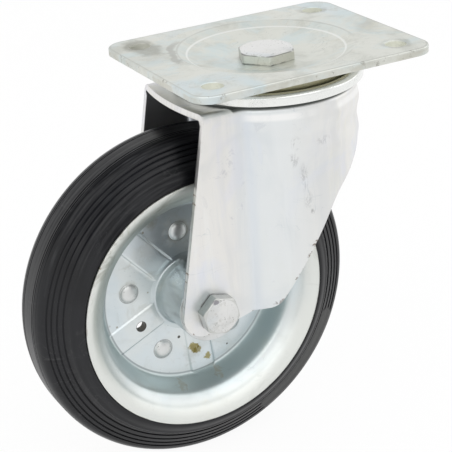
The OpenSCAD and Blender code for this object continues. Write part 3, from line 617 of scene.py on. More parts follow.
def rubber():
    """Black rubber with dusty patches, fine lines round the wheel darkened as painted shade, painted highlight streaks
    and painted shade in the upper left, and a greyer plain panel.
    """
    g = Graph("black_rubber", IOR=1.5, Metallic=0.0, Specular_IOR_Level=0.36)
    cloud, fine = g.noise(24, 4, 0.6, bend=0.5), g.noise(700, 3, 0.65, shift=3.0)
    g.colour = g.mix((0.0046, 0.0048, 0.0062), (0.0092, 0.0097, 0.0118), g.step(cloud, 0.35, 0.7))
    dust = g.spread(130, 4, 0.58, 0.74, 0.7, shift=6.0) * g.spread(18, 2, 0.45, 0.6, shift=2.0)
    g.paint((0.045, 0.045, 0.047), dust * 0.5)
    scuffs = g.band(g.noise(55, 2, 0.5, place=g.stretch(1, 0.2, 1, 5.0), bend=1.6), 0.5, 0.006, 0.002)
    g.paint((0.05, 0.05, 0.052), scuffs * g.spread(30, 2, 0.52, 0.62, shift=19.0) * 0.5)
    x, y, z = g.axes()
    dx, dz = x - AXLE_X * MM, z - AXLE_Z * MM
    far, turn = g.length(dx, dz), g.math("ARCTAN2", dz, dx)
    run = g.high(g.size(turn - PAD["middle"]) * (PAD["r"] * MM) - PAD_STRAIGHT * MM, 0.0)
    gap = g.length(run, far - PAD["r"] * MM) - PAD["width"] / 2 * MM
    pad = g.step(gap, 0.0001, -0.0004) * g.step(y, -0.0085, -0.0105)
    g.paint((0.054, 0.0545, 0.0535), pad * 0.9)
    place = g.node("ShaderNodeCombineXYZ", None, {0: far, 1: y, 2: dx / far * 0.004}).outputs[0]
    rings = Wire(g, g.node("ShaderNodeTexNoise", {"noise_dimensions": "4D"},
                           {"Vector": place, "W": dz / far * 0.004, "Scale": 700.0, "Detail": 3.0,
                            "Roughness": 0.6}).outputs[0])
    # upper left of the wheel, where the painted highlight streaks and painted shade are strongest
    upper = g.step(turn, 1.2, 1.6) * g.step(turn, 2.8, 2.3)
    # dark lines: painted shade in the side-wall grooves and along the tread's fine lines
    lines = 0.0
    for r, _ in GROOVES:
        lines = g.high(lines, g.band(far, (r + 0.1) * MM, 0.0007, 0.0002))
    for across in CROWN_LINES:
        lines = g.high(lines, g.band(y, across * MM, 0.0005, 0.0001) * g.step(far, 0.0880, 0.0886))
    # paler ring streaks on the side wall, with painted highlight streaks added in the upper left
    g.paint((0.06, 0.062, 0.066), g.step(rings, 0.58, 0.70) * g.step(far, 0.078, 0.086) * (upper * 0.5 + 0.12))
    # painted shade: metallic with the near-black colour darkens the upper left and the dark lines
    upper_left_shade = g.step(rings, 0.40, 0.60) * upper * g.step(far, 0.0865, 0.0885, 0.5, 0.7)
    g.set(Metallic=g.low(lines * (upper * 0.35 + 0.4) * (1.0 - pad) + upper_left_shade, 0.9))
    g.roughness = 0.34 + (cloud - 0.5) * 0.24 + (fine - 0.5) * 0.12 + dust * 0.12 + pad * 0.2
    g.emboss(fine, 0.00006, 0.5)
    g.emboss(g.noise(70, 3, shift=8.0), 0.0004, 0.2)
    return g.finished()


def plastic():
    """Honey-coloured plastic of the bearing cage, with patches of grease."""
    g = Graph("cage_plastic", IOR=1.46)
    g.colour = g.mix((0.42, 0.31, 0.17), (0.3, 0.21, 0.11), g.spread(60, 3, 0.35, 0.7, 0.5))
    grease = g.spread(45, 3, 0.5, 0.62, shift=3.0)
    g.paint((0.18, 0.13, 0.08), grease * 0.6)
    g.roughness = 0.5 - grease * 0.25
    g.emboss(g.noise(500, 2), 0.00005, 0.4)
    return g.finished()


RUBBER, PLASTIC = rubber(), plastic()


# ---------------------------------------------------------------- top plate
def rounded_rectangle(half_x, half_y, corner, steps=14, edge=18):
    points = []
    for i, (sx, sy) in enumerate(((1, 1), (-1, 1), (-1, -1), (1, -1))):
        cx, cy = sx * (half_x - corner), sy * (half_y - corner)
        start = i * math.pi / 2
        arc = [(cx + corner * math.cos(start + math.pi / 2 * j / steps),
                cy + corner * math.sin(start + math.pi / 2 * j / steps)) for j in range(steps + 1)]
        points += arc
        nx, ny = ((-1, 1), (-1, -1), (1, -1), (1, 1))[i]
        end = (nx * half_x if i % 2 else nx * (half_x - corner), ny * (half_y - corner) if i % 2 else ny * half_y)
        points += [(arc[-1][0] + (end[0] - arc[-1][0]) * j / edge, arc[-1][1] + (end[1] - arc[-1][1]) * j / edge)
                   for j in range(1, edge)]
    return points


def circle_points(cx, cy, r, n):
    return [(cx + r * math.cos(2 * math.pi * k / n), cy + r * math.sin(2 * math.pi * k / n)) for k in range(n)]


def top_plate():
    t, hx, hy = PLATE["t"], PLATE["length"] / 2, PLATE["width"] / 2
    points, faces, tops, bottoms = [], [], [], []

    def strip(loops):
        """A band of faces through loops of equal length; its first loop is on the underside, its last on top."""
        base, n = len(points), len(loops[0])
        for loop in loops:
            points.extend(loop)
        faces.extend(grid_faces(len(loops), n, base))
        bottoms.append(range(base, base + n))
        tops.append(range(base + (len(loops) - 1) * n, base + len(loops) * n))

    def outline(inset, z):
        """The plate's border at one height, its outermost part with small nicks."""
        shape = rounded_rectangle(hx - inset, hy - inset, PLATE["corner"] - inset)
        nick = [0.0 if inset > 0.5 else 0.09 * max(0.0, math.sin(k * 1.93 + 0.4) * math.sin(k * 0.71)) ** 3
                for k in range(len(shape))]
        return [(x * (1 - d / hx), y * (1 - d / hy), z) for (x, y), d in zip(shape, nick)]

    def filled(work):
        """Closes the flat top and underside between the strips."""
        work.verts.ensure_lookup_table()
        for loops in (tops, bottoms):
            edges = [work.edges.get((work.verts[loop[k]], work.verts[loop[(k + 1) % len(loop)]]))
                     for loop in loops for k in range(len(loop))]
            bmesh.ops.triangle_fill(work, use_beauty=True, use_dissolve=False, edges=edges)

    edge = round_path([(2.4, -t), (0.0, -t, 0.35), (0.0, 0.0, 0.75), (2.4, 0.0)], steps=5, closed=False)
    strip([outline(1.6, -t)] + [outline(d, z) for d, z in edge[1:-1]] + [outline(1.6, 0.0)])
    hole = round_path([(1.9, -t), (0.0, -t, 0.3), (0.0, 0.0, 0.7), (1.9, 0.0)], steps=5, closed=False)
    for sx in (-1, 1):
        for sy in (-1, 1):
            cx, cy = sx * PLATE["pitch_x"] / 2, sy * PLATE["pitch_y"] / 2
            strip([[(x, y, z) for x, y in circle_points(cx, cy, PLATE["hole_r"] + d, 48)] for d, z in hole])
    border, bore = 47.2, KING_R + 0.1
    top = [(border, 0.0), (45.7, 0.0, 1.6), (DISH_FLOOR_R + 0.7, -DISH_STEP + 0.05, 1.2),
           (KING_SEAT_R, -DISH_DEPTH, 16.0), (bore, -DISH_DEPTH, 0.3)]
    under = [(border, -t), (DISH_R + 0.2, -t, 1.8), (DISH_FLOOR_R + 0.2, -t - DISH_STEP, 1.0),
             (KING_SEAT_R, -t - DISH_DEPTH, 3.0), (bore, -t - DISH_DEPTH, 0.3)]
    section = (round_path(under + [(bore, -DISH_DEPTH)], steps=5, closed=False)
               + round_path([(bore, -t - DISH_DEPTH)] + top[::-1], steps=5, closed=False)[1:])
    dense = []
    for a, b in zip(section, section[1:]):
        parts = max(1, int(math.dist(a, b) / 3))
        dense += [tuple(a[i] + (b[i] - a[i]) * j / parts for i in range(2)) for j in range(parts)]
    strip([[(x, y, z) for x, y in circle_points(0, 0, r, 180)] for r, z in dense + [section[-1]]])
    piece = shaped("pressed_top_plate", points, faces, filled)
    return dress(piece, ZINC_PLATE, "plate", "top_plate", 40)


top_plate()

# ---------------------------------------------------------------- king bolt and its stack
KING_TURN, KING_NUT_TURN, KING_PITCH = math.radians(8), math.radians(-20), 2.5
KING_NUT_LOW, KING_NUT_HIGH, WASHER_HIGH = -38.245, -29.245, -27.045
KING_END = -40.745
king_head = hex_points(KING_AF, -DISH_DEPTH, -1.0, KING_TURN, upright, top_dip=0.25)
king_shank = rings([(0, -6.4), (KING_R, -6.4), (KING_R, -38.0), (0, -38.0)], 72, upright)
king_thread = thread_points(KING_R, -37.9, KING_END, KING_PITCH, upright)
build("king_bolt_m18", *joined(king_head, king_shank, king_thread), ZINC_HEAD, "zinc_bolt", "plate", "king_bolt")
build("king_hex_nut", *hex_points(KING_AF, KING_NUT_HIGH, KING_NUT_LOW, KING_NUT_TURN, upright, hole=KING_R - 0.6),
      ZINC_BOLT, "zinc_bolt", "plate", "king_nut")


def split_washer():
    """Square section wound a little less than one turn, its ends slightly offset."""
    inner, outer, low, high = KING_R + 0.1, KING_R + 4.5, KING_NUT_HIGH, WASHER_HIGH
    section = round_path([(inner, low), (outer, low), (outer, high), (inner, high)], 0.35, 3)
    gap, rows, n = 0.8 / (KING_R + 2.2), 90, len(section)
    points = []
    for i, turn in enumerate(np.linspace(gap, 2 * math.pi - gap, rows)):
        lift = 0.12 * (i / (rows - 1) - 0.5)
        points += [(r * math.cos(turn), r * math.sin(turn), h * 0.94 - 1.69 + lift) for r, h in section]
    faces = grid_faces(rows, n) + [tuple(range(n)), tuple(range((rows - 1) * n, rows * n))]
    build("split_lock_washer", points, faces, ZINC_BOLT, "zinc_bolt", "plate", "king_lock_washer")


split_washer()

UPPER_Z, UPPER_R, UPPER_TRACK, LOWER_Z, LOWER_R, LOWER_TRACK = -12.345, 36.0, 3.55, -22.245, 24.0, 3.05


def groove(r, z, ball_r, low_turn, high_turn, steps=10):
    """Arc of a ball track, from one angle to the other, in degrees."""
    turns = [math.radians(low_turn + (high_turn - low_turn) * i / steps) for i in range(steps + 1)]
    return [(r + ball_r * math.cos(a), z + ball_r * math.sin(a)) for a in turns]


def under_dish(r):
    return -PLATE["t"] - DISH_STEP - (DISH_DEPTH - DISH_STEP) / (DISH_FLOOR_R - KING_SEAT_R) * (DISH_FLOOR_R - r)


race_floor = UPPER_Z + 1.5
upper_section = ([(28.5, under_dish(28.5)), (28.5, race_floor)] + groove(UPPER_R, UPPER_Z, UPPER_TRACK, 155, 25)
                 + round_path([(41.0, race_floor), (42.1, race_floor, 0.4), (42.1, UPPER_Z - 0.75, 0.3),
                               (43.6, UPPER_Z - 0.75, 0.4), (43.6, -PLATE["t"] - 0.73)], steps=3, closed=False)
                 + [(DISH_FLOOR_R, -PLATE["t"] - DISH_STEP)])
lathe("upper_race_pressing", upper_section, YELLOW_ZINC, "yellow_zinc", "plate", "upper_race")
lathe("king_spacer_tube", round_path([(9.1, -24.045), (12.6, -24.045), (12.6, -10.6), (9.1, -10.6)], 0.4, 3),
      BARE_STEEL, "bare_steel", "plate", "king_spacer", 96)
lower_section = (round_path([(9.1, -24.045, 0.3), (9.1, -27.045, 0.4), (30.0, -27.045, 1.6), (30.0, -23.045, 0.5),
                             (27.3, -23.045)], steps=4, closed=False)
                 + groove(LOWER_R, LOWER_Z, LOWER_TRACK, -16, -144, 12) + [(20.5, -24.045)])
lathe("lower_race_cup", lower_section, BARE_STEEL, "bare_steel", "plate", "lower_race", 120)

ring_section = (round_path([(28.5, CROWN_TOP, 0.2), (46.0, CROWN_TOP, 0.2), (46.0, -16.345, 0.2),
                            (49.5, -16.345, 0.55), (49.5, -10.645, 2.3), (44.7, -10.645, 0.7), (44.7, -13.845, 0.3)],
                           steps=7, closed=False)
                + groove(UPPER_R, UPPER_Z, UPPER_TRACK, -25, -155) + [(28.5, -13.845)])
lathe("swivel_ring_band", ring_section, ZINC_RING, "zinc_plate", "fork", "swivel_ring", 180)


# ---------------------------------------------------------------- fork
BEND_R = 3.9
TOE, HEEL, WAIST, HEM_X = (-76.35, -138.8), (-22.0, -126.46), (13.0, -70.12), 51.0
# radius of the hollow between leg and hood, under the crown and at the lower edge
CREASE_TOP_R, CREASE_LOW_R = 8.0, 3.0
CREASE_X = -math.sqrt(HOOD_R ** 2 - LEG_OUT ** 2)
LEG_COLUMNS, CREASE_COLUMNS, HOOD_COLUMNS, FRONT_COLUMNS = 22, 10, 120, 40
BEND_ROWS, WALL_ROWS, CROWN_ROWS = 8, 44, 14


def front_x(z):
    return -CROWN_FRONT + LEG_RAKE * (z - CROWN_UNDER)


def front_bulge(y):
    return CROWN_BULGE * max(0.0, 1 - (y / LEG_OUT) ** 2)


# the legs' and hood's lower limit, from the front edge round the toe to the hem behind
LOWER = round_path([(front_x(CROWN_TOP), CROWN_TOP), (*TOE, 12.0), (*HEEL, 11.0), (*WAIST, 40.0),
                    (HEM_X, WAIST[1] + 0.8 * (HEM_X - WAIST[0]))], steps=16, closed=False)[1:]
LIMIT_X, LIMIT_Z = np.array(LOWER).T
TOE_TIP = int(np.argmin(LIMIT_X))


def lowest(x):
    return float(np.interp(x, LIMIT_X[TOE_TIP:], LIMIT_Z[TOE_TIP:]))


# lower ends of the straight columns in front of the crease: toe arc and sole
SOLE = np.array(LOWER[:17] + [(CREASE_X - 2.0, lowest(CREASE_X - 2.0))])
SOLE_RUN = np.concatenate(([0.0], np.cumsum(np.hypot(*np.diff(SOLE, axis=0).T))))


def sole_point(f):
    return [float(np.interp(f * SOLE_RUN[-1], SOLE_RUN, SOLE[:, i])) for i in range(2)]


def plan_curve(inset, crease_r):
    """Near half of the fork wall's plan, from its front corner round the hood to the middle behind.
    Each entry holds the share of the straight leg, the point past it, and the outward direction;
    inset moves the wall inwards. The x where the crease starts and the leg's y come with it."""
    y, r, fillet = LEG_OUT - inset, HOOD_R - inset, crease_r + inset
    # the fillet circle lies outside the wall, tangent to the flat leg and to the hood
    cy = -(y + fillet)
    cx = -math.sqrt((r + fillet) ** 2 - cy ** 2)
    touch = (cx * r / (r + fillet), cy * r / (r + fillet))
    arc_start, arc_end = math.pi / 2, math.atan2(touch[1] - cy, touch[0] - cx)
    hood_start = math.atan2(touch[1], touch[0])
    plan = [(k / LEG_COLUMNS, None, (0.0, -1.0)) for k in range(LEG_COLUMNS)]
    for k in range(CREASE_COLUMNS):
        a = arc_start + (arc_end - arc_start) * k / CREASE_COLUMNS
        plan.append((None, (cx + fillet * math.cos(a), cy + fillet * math.sin(a)), (-math.cos(a), -math.sin(a))))
    for k in range(HOOD_COLUMNS + 1):
        a = hood_start * (1 - k / HOOD_COLUMNS)
        plan.append((None, (r * math.cos(a), r * math.sin(a)), (math.cos(a), math.sin(a))))
    return plan, cx, y


def wrinkled(x, y, z, n):
    """Shallow swell and folds left by deep drawing, strongest high on the hood."""
    turn = math.atan2(y, x)
    swell = 0.55 * math.exp(-((z + 27.0) / 4.0) ** 2) - 0.45 * math.exp(-((z + 36.0) / 4.5) ** 2)
    swell += 0.3 * math.exp(-((z + 44.0) / 4.0) ** 2) - 0.25 * math.exp(-((z + 53.0) / 6.0) ** 2)
    folds = 0.16 * math.sin(turn * 13 + 0.05 * z) * math.exp(-((z + 32.0) / 11.0) ** 2)
    folds += 0.1 * math.sin(turn * 23 + 1.1 - 0.09 * z) * math.exp(-((z + 38.0) / 14.0) ** 2)
    level = (1.5 * swell + 1.6 * folds) * min(1.0, max(0.0, (x + 22.0) / 16.0)) - 0.1
    level *= min(1.0, (CROWN_TOP - BEND_R - z) / 3.0)
    return x + n[0] * level, y + n[1] * level


def wall_columns(inset):
    """Columns of points down the fork wall, from the near front corner round the hood to the far one."""
    top_z, bend = CROWN_TOP - inset, BEND_R - inset
    bottom_z = top_z - bend
    (soft, soft_x, leg_y), (sharp, sharp_x, _) = plan_curve(inset, CREASE_TOP_R), plan_curve(inset, CREASE_LOW_R)
    columns = []
    for (f, top, n), (_, low, _) in zip(soft, sharp):
        if f is None:
            low_z = lowest(low[0])
        else:
            start_x = front_x(bottom_z)
            low_x, low_z = sole_point(f)
            low_x += (sharp_x - SOLE[-1][0]) * max(0.0, f - 0.6) / 0.4
            if low_x >= -60:
                low_z = lowest(low_x)
            top, low = (start_x + (soft_x - start_x) * f, -leg_y), (low_x, -leg_y)
        rows = []
        for i in range(BEND_ROWS + 1):
            a = math.pi / 2 * i / BEND_ROWS
            out, z = -bend * (1 - math.sin(a)), top_z - bend * (1 - math.cos(a))
            x, y = top[0] + n[0] * out, top[1] + n[1] * out
            rows.append((front_x(z) - front_bulge(y) if f == 0 else x, y, z))
        for i in range(1, WALL_ROWS + 1):
            t = i / WALL_ROWS
            x, y, z = (a + (b - a) * t for a, b in zip((*top, bottom_z), (*low, low_z)))
            rows.append((*(wrinkled(x, y, z, n) if f is None else (x, y)), z))
        columns.append(rows)
    return columns + [[(x, -y, z) for x, y, z in rows] for rows in columns[-2::-1]]


def fork():
    points, faces, shells = [], [], []
    for inset in (0.0, FORK_T):
        columns, top_z = wall_columns(inset), CROWN_TOP - inset
        rows = len(columns[0])
        index = [[len(points) + k * rows + i for i in range(rows)] for k in range(len(columns))]
        points += [p for column in columns for p in column]
        front = list(range(len(points), len(points) + FRONT_COLUMNS - 1))
        for j in range(1, FRONT_COLUMNS):
            y = -columns[0][0][1] * (1 - 2 * j / FRONT_COLUMNS)
            points.append((front_x(top_z) - front_bulge(y), y, top_z))
        ring = [column[0] for column in index] + front
        outer = [points[i] for i in ring]
        for j in range(1, CROWN_ROWS + 1):
            f = (j / CROWN_ROWS) ** 0.8
            row = list(range(len(points), len(points) + len(ring)))
            for x, y, _ in outer:
                a = math.atan2(y, x)
                points.append((x + (CROWN_BORE_R * math.cos(a) - x) * f, y + (CROWN_BORE_R * math.sin(a) - y) * f,
                               top_z))
            faces += loft(ring, row)
            ring = row
        for a, b in zip(index, index[1:]):
            faces += [(a[i], a[i + 1], b[i + 1], b[i]) for i in range(rows - 1)]
        shells.append(([column[-1] for column in index] + index[-1][-2::-1] + front + index[0][:-1], ring))
    for a, b in zip(*shells):
        faces += loft(a, b)

    places = np.array(points)
    limits = np.array([points[i] for border, _ in shells for i in border])[::2]
    blocks = [places[s:s + 4000] for s in range(0, len(places), 4000)]
    gap = np.concatenate([np.sqrt(((block[:, None] - limits) ** 2).sum(-1)).min(1) for block in blocks])
    crease = np.clip(1 - np.abs(places[:, 0] - CREASE_X - 1.2) / 4.2, 0, 1)
    crease *= np.clip((CROWN_TOP - 3.0 - places[:, 2]) / 6.0, 0, 1)
    piece = shaped("drawn_fork", points, faces, values=dict(edge=np.clip(1 - gap / 3.2, 0, 1), crease=crease))
    drill(piece, AXLE_R + 0.1, AXLE_X, AXLE_Z, 80, 64, bevel=0.32)
    return dress(piece, ZINC_FORK, "fork", "fork", 40)


fork()

# ---------------------------------------------------------------- axle bolt, washer, nut and sleeve
AXLE_TURN, AXLE_NUT_TURN, AXLE_PITCH = math.radians(45), math.radians(-12), 1.75
axle_head = hex_points(AXLE_AF, -LEG_OUT, -39.5, AXLE_TURN, on_axle, top_dip=0.15)
axle_shank = rings([(0, -32.6), (AXLE_R, -32.6), (AXLE_R, 44.0), (0, 44.0)], 64, on_axle)
axle_thread = thread_points(AXLE_R, 43.5, 47.5, AXLE_PITCH, on_axle)
build("axle_bolt_m12", *joined(axle_head, axle_shank, axle_thread), ZINC_HEAD, "zinc_bolt", "fork", "axle_bolt")
lathe("axle_flat_washer", round_path([(6.1, 32.5), (12.0, 32.5), (12.0, 35.0), (6.1, 35.0)], 0.4, 3),
      ZINC_BOLT, "zinc_bolt", "fork", "axle_washer", 96, on_axle)
build("axle_hex_nut", *hex_points(AXLE_AF, 35.0, 45.0, AXLE_NUT_TURN, on_axle, hole=AXLE_R - 0.6),
      ZINC_BOLT, "zinc_bolt", "fork", "axle_nut")
lathe("axle_bearing_sleeve", round_path([(6.1, -29.5), (10.0, -29.5), (10.0, 29.5), (6.1, 29.5)], 0.4, 3),
      BARE_STEEL, "bare_steel", "fork", "axle_sleeve", 96, on_axle)


# ---------------------------------------------------------------- hub
def hub_section():
    side = [(HUB_R + 4.2, RIM_T + 0.02), (HUB_R + 1.6, RIM_T + 0.5, 1.2), (HUB_R, RIM_T + 3.6, 3.0)]
    right = round_path([(HUB_R + 4.2, 0.0)] + side + [(HUB_R, HUB_HALF, 0.5), (HUB_IN, HUB_HALF, 0.5), (HUB_IN, 0.0)],
                       steps=6, closed=False)
    left = [(r, -h) for r, h in right[::-1]]
    return right[:-1] + left[:-1]


lathe("hub_bearing_tube", hub_section(), ZINC_HUB, "zinc_rim", "wheel", "hub_tube", 144, on_axle)
for side, node in ((-1, "hub_cap_near"), (1, "hub_cap_far")):
    cap = round_path([(10.08, 29.1, 0.4), (18.0, 29.1, 0.9), (18.0, 27.0, 0.3), (14.95, 27.0, 0.1), (14.95, 24.0, 0.3),
                      (10.08, 24.0, 0.3)], steps=4)
    lathe(node + "_pressing", [(r, side * h) for r, h in cap], ZINC_BOLT, "zinc_bolt", "wheel", node, 96, on_axle)


# ---------------------------------------------------------------- rim
def smooth_profile(points, passes):
    """Corner cutting: a soft curve through a coarse section, with its ends kept."""
    for _ in range(passes):
        done = [points[0]]
        for a, b in zip(points, points[1:]):
            done += [tuple(0.75 * p + 0.25 * q for p, q in zip(a, b)), tuple(0.25 * p + 0.75 * q for p, q in zip(a, b))]
        points = done + [points[-1]]
    return points


# radius and distance from the wheel's middle plane, in mm
RIM_WALL = [(47.0, 1.5), (48.4, 1.5), (49.8, 2.4), (51.2, 4.8), (52.6, 8.4), (54.0, 12.2), (55.4, 14.6), (57.8, 16.4),
            (59.4, 17.9), (61.0, 19.9), (63.6, 21.8), (66.2, 23.0), (68.0, 23.3)]
RIM_LIP = [(67.6, 23.3), (67.88, 23.22), (68.0, 23.05), (68.0, 22.5), (67.9, 22.0)]
# places across a rib, in half widths, and the plain columns between one rib and the next
RIB_PLACES = [-1.4, -1.22, -1.17, -1.11, -1.05, -1.0, -0.86, -0.5, 0.0, 0.5, 0.86, 1.0, 1.05, 1.11, 1.17, 1.22, 1.4]
RIB_EDGE, RIB_FLANK, RIB_START_R, RIB_END_R, PLAIN_COLUMNS = 1.0, 0.22, 20.5, 49.3, 30


def rib_top(r, a, across):
    """Height of the rib's face at radius r, turned a from its middle line."""
    rise = 1 - min(1.0, max(0.0, (abs(across) - RIB_EDGE) / RIB_FLANK))
    rise = rise * rise * (3 - 2 * rise)
    ended = 1 - min(1.0, max(0.0, (r * math.cos(a) - RIB_END_R) / 0.5))
    return RIM_T + RIB_H * rise * ended * min(1.0, (r - RIB_START_R) / 1.2)


def rim_half(side, name, node):
    face = [(r, RIM_T) for r in (HUB_R, *range(20, 48, 2))] + smooth_profile(RIM_WALL, 2)
    back = []
    for i in range(len(face) - 1, -1, -1):
        a, b = face[max(i - 1, 0)], face[min(i + 1, len(face) - 1)]
        d = math.dist(a, b)
        back.append((face[i][0] + (b[1] - a[1]) / d * RIM_T, face[i][1] - (b[0] - a[0]) / d * RIM_T))
    section = face[:-1] + RIM_LIP + [p for p in back if p[0] < 67.0]
    points, sector = [], math.radians(SECTOR)
    for row, (r, h) in enumerate(section):
        rib = [(c, math.asin(c * RIB_W / 2 / r)) for c in RIB_PLACES]
        limit = rib[-1][1]
        plain = [(None, limit + (sector - 2 * limit) * (j + 1) / (PLAIN_COLUMNS + 1)) for j in range(PLAIN_COLUMNS)]
        for k in range(RIVETS):
            for c, a in rib + plain:
                ribbed = row < len(face) - 1 and r > RIB_START_R and c is not None and abs(c) <= RIB_EDGE + RIB_FLANK
                level = max(h, rib_top(r, a, c)) if ribbed else h
                points.append(on_axle(r, math.radians(RIB_START) + sector * k + a, side * level))
    columns = RIVETS * (len(RIB_PLACES) + PLAIN_COLUMNS)
    piece = build(name, points, grid_faces(len(section), columns, closed=True), ZINC_RIM, "zinc_rim", "wheel", node, 0)
    a = math.radians(DRAIN["angle"])
    drill(piece, DRAIN["r"], AXLE_X + DRAIN["circle"] * math.cos(a), AXLE_Z + DRAIN["circle"] * math.sin(a), 20, 48)
    soften(piece, 42)


rim_half(-1, "pressed_rim_near", "rim_near")
rim_half(1, "pressed_rim_far", "rim_far")


def rivets():
    dome = [(0.0, 2.05), (1.2, 2.0), (2.4, 1.83), (3.3, 1.55), (4.1, 1.1), (4.6, 0.65), (4.85, 0.28), (5.0, 0.1),
            (5.25, -0.02)]
    rows = [(r, RIM_T + h) for r, h in dome] + [(3.0, 1.4), (3.0, -1.4)] + [(r, -RIM_T - h) for r, h in dome[::-1]]
    points, faces = rings(rows, 40, on_axle)
    parts = []
    for k in range(RIVETS):
        a = math.radians(RIVET_START + SECTOR * k)
        parts.append(([(x + RIVET_CIRCLE * math.cos(a), y, z + RIVET_CIRCLE * math.sin(a)) for x, y, z in points],
                      faces))
    build("domed_rim_rivets", *joined(*parts), ZINC_RIVET, "zinc_rim", "wheel", "rim_rivets")


rivets()


# ---------------------------------------------------------------- tyre
TYRE_EDGE = [(68.35, 22.2), (69.2, 22.5), (70.8, 22.0), (72.6, 20.9), (73.9, 20.0), (74.5, 19.9), (75.1, 19.55),
             (75.5, 18.9), (75.9, 18.0), (76.5, 17.3)]
# steps from a groove's middle across it, outwards and sideways
GROOVE_STEPS = ((-0.62, 0.29), (-0.42, 0.14), (-0.2, -0.32), (0, -0.42), (0.2, -0.46), (0.42, -0.1), (0.62, -0.22))
SHOULDER = [(86.6, 12.75), (87.4, 12.25), (88.1, 11.6), (88.7, 10.8), (89.15, 9.9), (89.5, 8.9), (89.75, 7.8)]
CROWN = [(89.86, 7.0), (89.45, 6.86), (89.45, 6.5), (89.93, 6.3), (89.96, 5.4), (89.5, 5.25), (89.5, 4.85),
         (89.98, 4.65), (90.0, 3.8), (90.0, 2.6), (90.0, 1.3), (90.0, 0.4)]
TUCKED = [(53.0, 0.0), (54.0, 4.0), (56.0, 8.0), (58.5, 13.4), (62.0, 18.2), (65.5, 21.4), (68.1, 21.6)]
SIDE_WALL = ((77.0, 80.4, 83.0, 86.4), (16.98, 15.5, 14.3, 13.05))


def tyre():
    grooves = [(r + dr, y + dy) for r, y in GROOVES for dr, dy in GROOVE_STEPS]
    half = TUCKED + TYRE_EDGE + grooves + SHOULDER + CROWN
    columns = 540
    along = (all_round(columns) - PAD["middle"] + math.pi) % (2 * math.pi) - math.pi
    run = np.maximum(np.abs(along) * PAD["r"] - PAD_STRAIGHT, 0.0)

    def with_pad(r, h):
        """Width at radius r: plain in place of grooved within the stadium-shaped panel."""
        if not 77.0 < r < 86.4:
            return h
        inside = np.clip((PAD["width"] / 2 - np.hypot(run, r - PAD["r"])) / 0.3, 0, 1)
        return h * (1 - inside) + (np.interp(r, *SIDE_WALL) + 0.12) * inside

    section = half + [(r, -with_pad(r, h)) for r, h in half[:0:-1]]
    lathe("moulded_tyre", section, RUBBER, "black_rubber", "wheel", "tyre", columns, on_axle, 38)


tyre()

# ---------------------------------------------------------------- CAD nodes that stay, with a better finish
for node, material in (("upper_balls", BEARING_STEEL), ("lower_balls", BEARING_STEEL), ("rollers", BEARING_STEEL),
                       ("roller_cage", PLASTIC)):
    NODES[node].data.materials.clear()
    NODES[node].data.materials.append(material)


# ---------------------------------------------------------------- floor, light and camera, in metres
def paper():
    """Pale sweep: plain white for the camera and for reflections, a soft shadow under the object."""
    g = Graph("studio_paper", Roughness=0.9, Base_Color=(0.92, 0.92, 0.92, 1.0))
    seen = g.node("ShaderNodeLightPath").outputs
    camera_ray, glossy_ray = Wire(g, seen["Is Camera Ray"]), Wire(g, seen["Is Glossy Ray"])
    white = g.node("ShaderNodeEmission", None, {"Color": (1, 1, 1, 1), "Strength": 1.0})
    keep = g.high(g.high(camera_ray * 0.93, glossy_ray), Wire(g, seen["Is Transmission Ray"]))
    mix = g.node("ShaderNodeMixShader", None, {0: keep, 1: g.shader.outputs[0], 2: white.outputs[0]})
    g.plug(g.output.inputs["Surface"], mix.outputs[0])
    return g.material


def floor():
    size, wall_y, radius, wall_top = 3.0, 1.1, 0.6, 2.4
    rows = [(-size, FLOOR_Z)] + [(wall_y + radius * math.sin(a), FLOOR_Z + radius * (1 - math.cos(a)))
                                 for a in np.linspace(0, math.pi / 2, 24)] + [(wall_y + radius, wall_top)]
    mesh = bpy.data.meshes.new("studio_floor")
    points = [(x, y, z) for y, z in rows for x in (-size, size)]
    mesh.from_pydata(points, [], [(2 * i, 2 * i + 1, 2 * i + 3, 2 * i + 2) for i in range(len(rows) - 1)])
    mesh.shade_smooth()
    mesh.materials.append(paper())
    piece = bpy.data.objects.new("studio_floor", mesh)
    bpy.context.scene.collection.objects.link(piece)


floor()

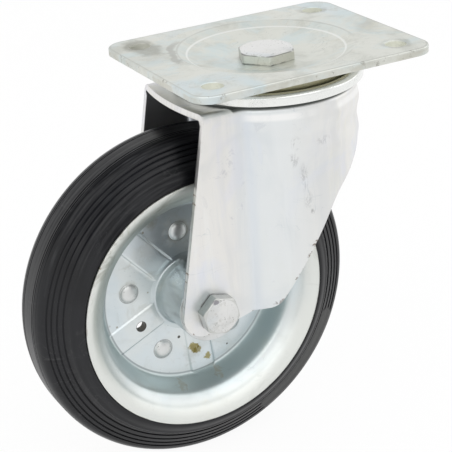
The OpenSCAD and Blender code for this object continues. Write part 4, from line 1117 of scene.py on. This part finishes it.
# the air gives 0.9 of white as light and shows the camera full white
world = bpy.data.worlds.new("studio_air")
bpy.context.scene.world = world
world.use_nodes = True
tree = world.node_tree
back = next(n for n in tree.nodes if n.type == "BACKGROUND")
back.inputs["Color"].default_value = (1.0, 1.0, 1.0, 1.0)
path, dim = tree.nodes.new("ShaderNodeLightPath"), tree.nodes.new("ShaderNodeMath")
dim.operation = "MULTIPLY_ADD"
dim.inputs[1].default_value, dim.inputs[2].default_value = 0.1, 0.9
tree.links.new(path.outputs["Is Camera Ray"], dim.inputs[0])
tree.links.new(dim.outputs[0], back.inputs["Strength"])


def lamp(name, place, target, size, watts, colour=(1, 1, 1)):
    light = bpy.data.lights.new(name, "AREA")
    light.shape, light.size, light.size_y = "RECTANGLE", size[0], size[1]
    light.energy, light.color = watts, colour
    piece = bpy.data.objects.new(name, light)
    bpy.context.scene.collection.objects.link(piece)
    piece.location = place
    piece.rotation_euler = (Vector(target) - Vector(place)).to_track_quat("-Z", "Y").to_euler()


lamp("key_softbox", (-1.25, -0.75, 0.95), (-0.03, 0, -0.1), (1.5, 1.4), 6.0, (1.0, 0.995, 0.985))
lamp("front_softbox", (0.15, -1.15, 1.25), (-0.03, 0, -0.1), (1.7, 1.2), 5.0)
lamp("fill_softbox", (1.35, -0.35, 0.55), (-0.03, 0, -0.08), (1.2, 1.2), 3.0, (0.98, 0.99, 1.0))

AZIMUTH, ELEVATION, ROLL = math.radians(-27.1692), math.radians(23.8409), math.radians(-3.6718)
AIM, DISTANCE, LENS, SENSOR = Vector((-0.02953, 0, -0.09367)), 0.79855, 120.41, 36.0
camera = bpy.data.objects.new("product_camera", bpy.data.cameras.new("product_camera"))
bpy.context.scene.collection.objects.link(camera)
away = Vector((math.sin(AZIMUTH) * math.cos(ELEVATION), -math.cos(AZIMUTH) * math.cos(ELEVATION), math.sin(ELEVATION)))
right = Vector((math.cos(AZIMUTH), math.sin(AZIMUTH), 0))
up = away.cross(right)
turned = (right * math.cos(ROLL) + up * math.sin(ROLL), up * math.cos(ROLL) - right * math.sin(ROLL), away)
camera.matrix_world = Matrix.Translation(AIM + away * DISTANCE) @ Matrix(turned).transposed().to_4x4()
camera.data.lens, camera.data.sensor_width = LENS, SENSOR
bpy.context.scene.camera = camera
bpy.context.scene.view_settings.view_transform = "Standard"
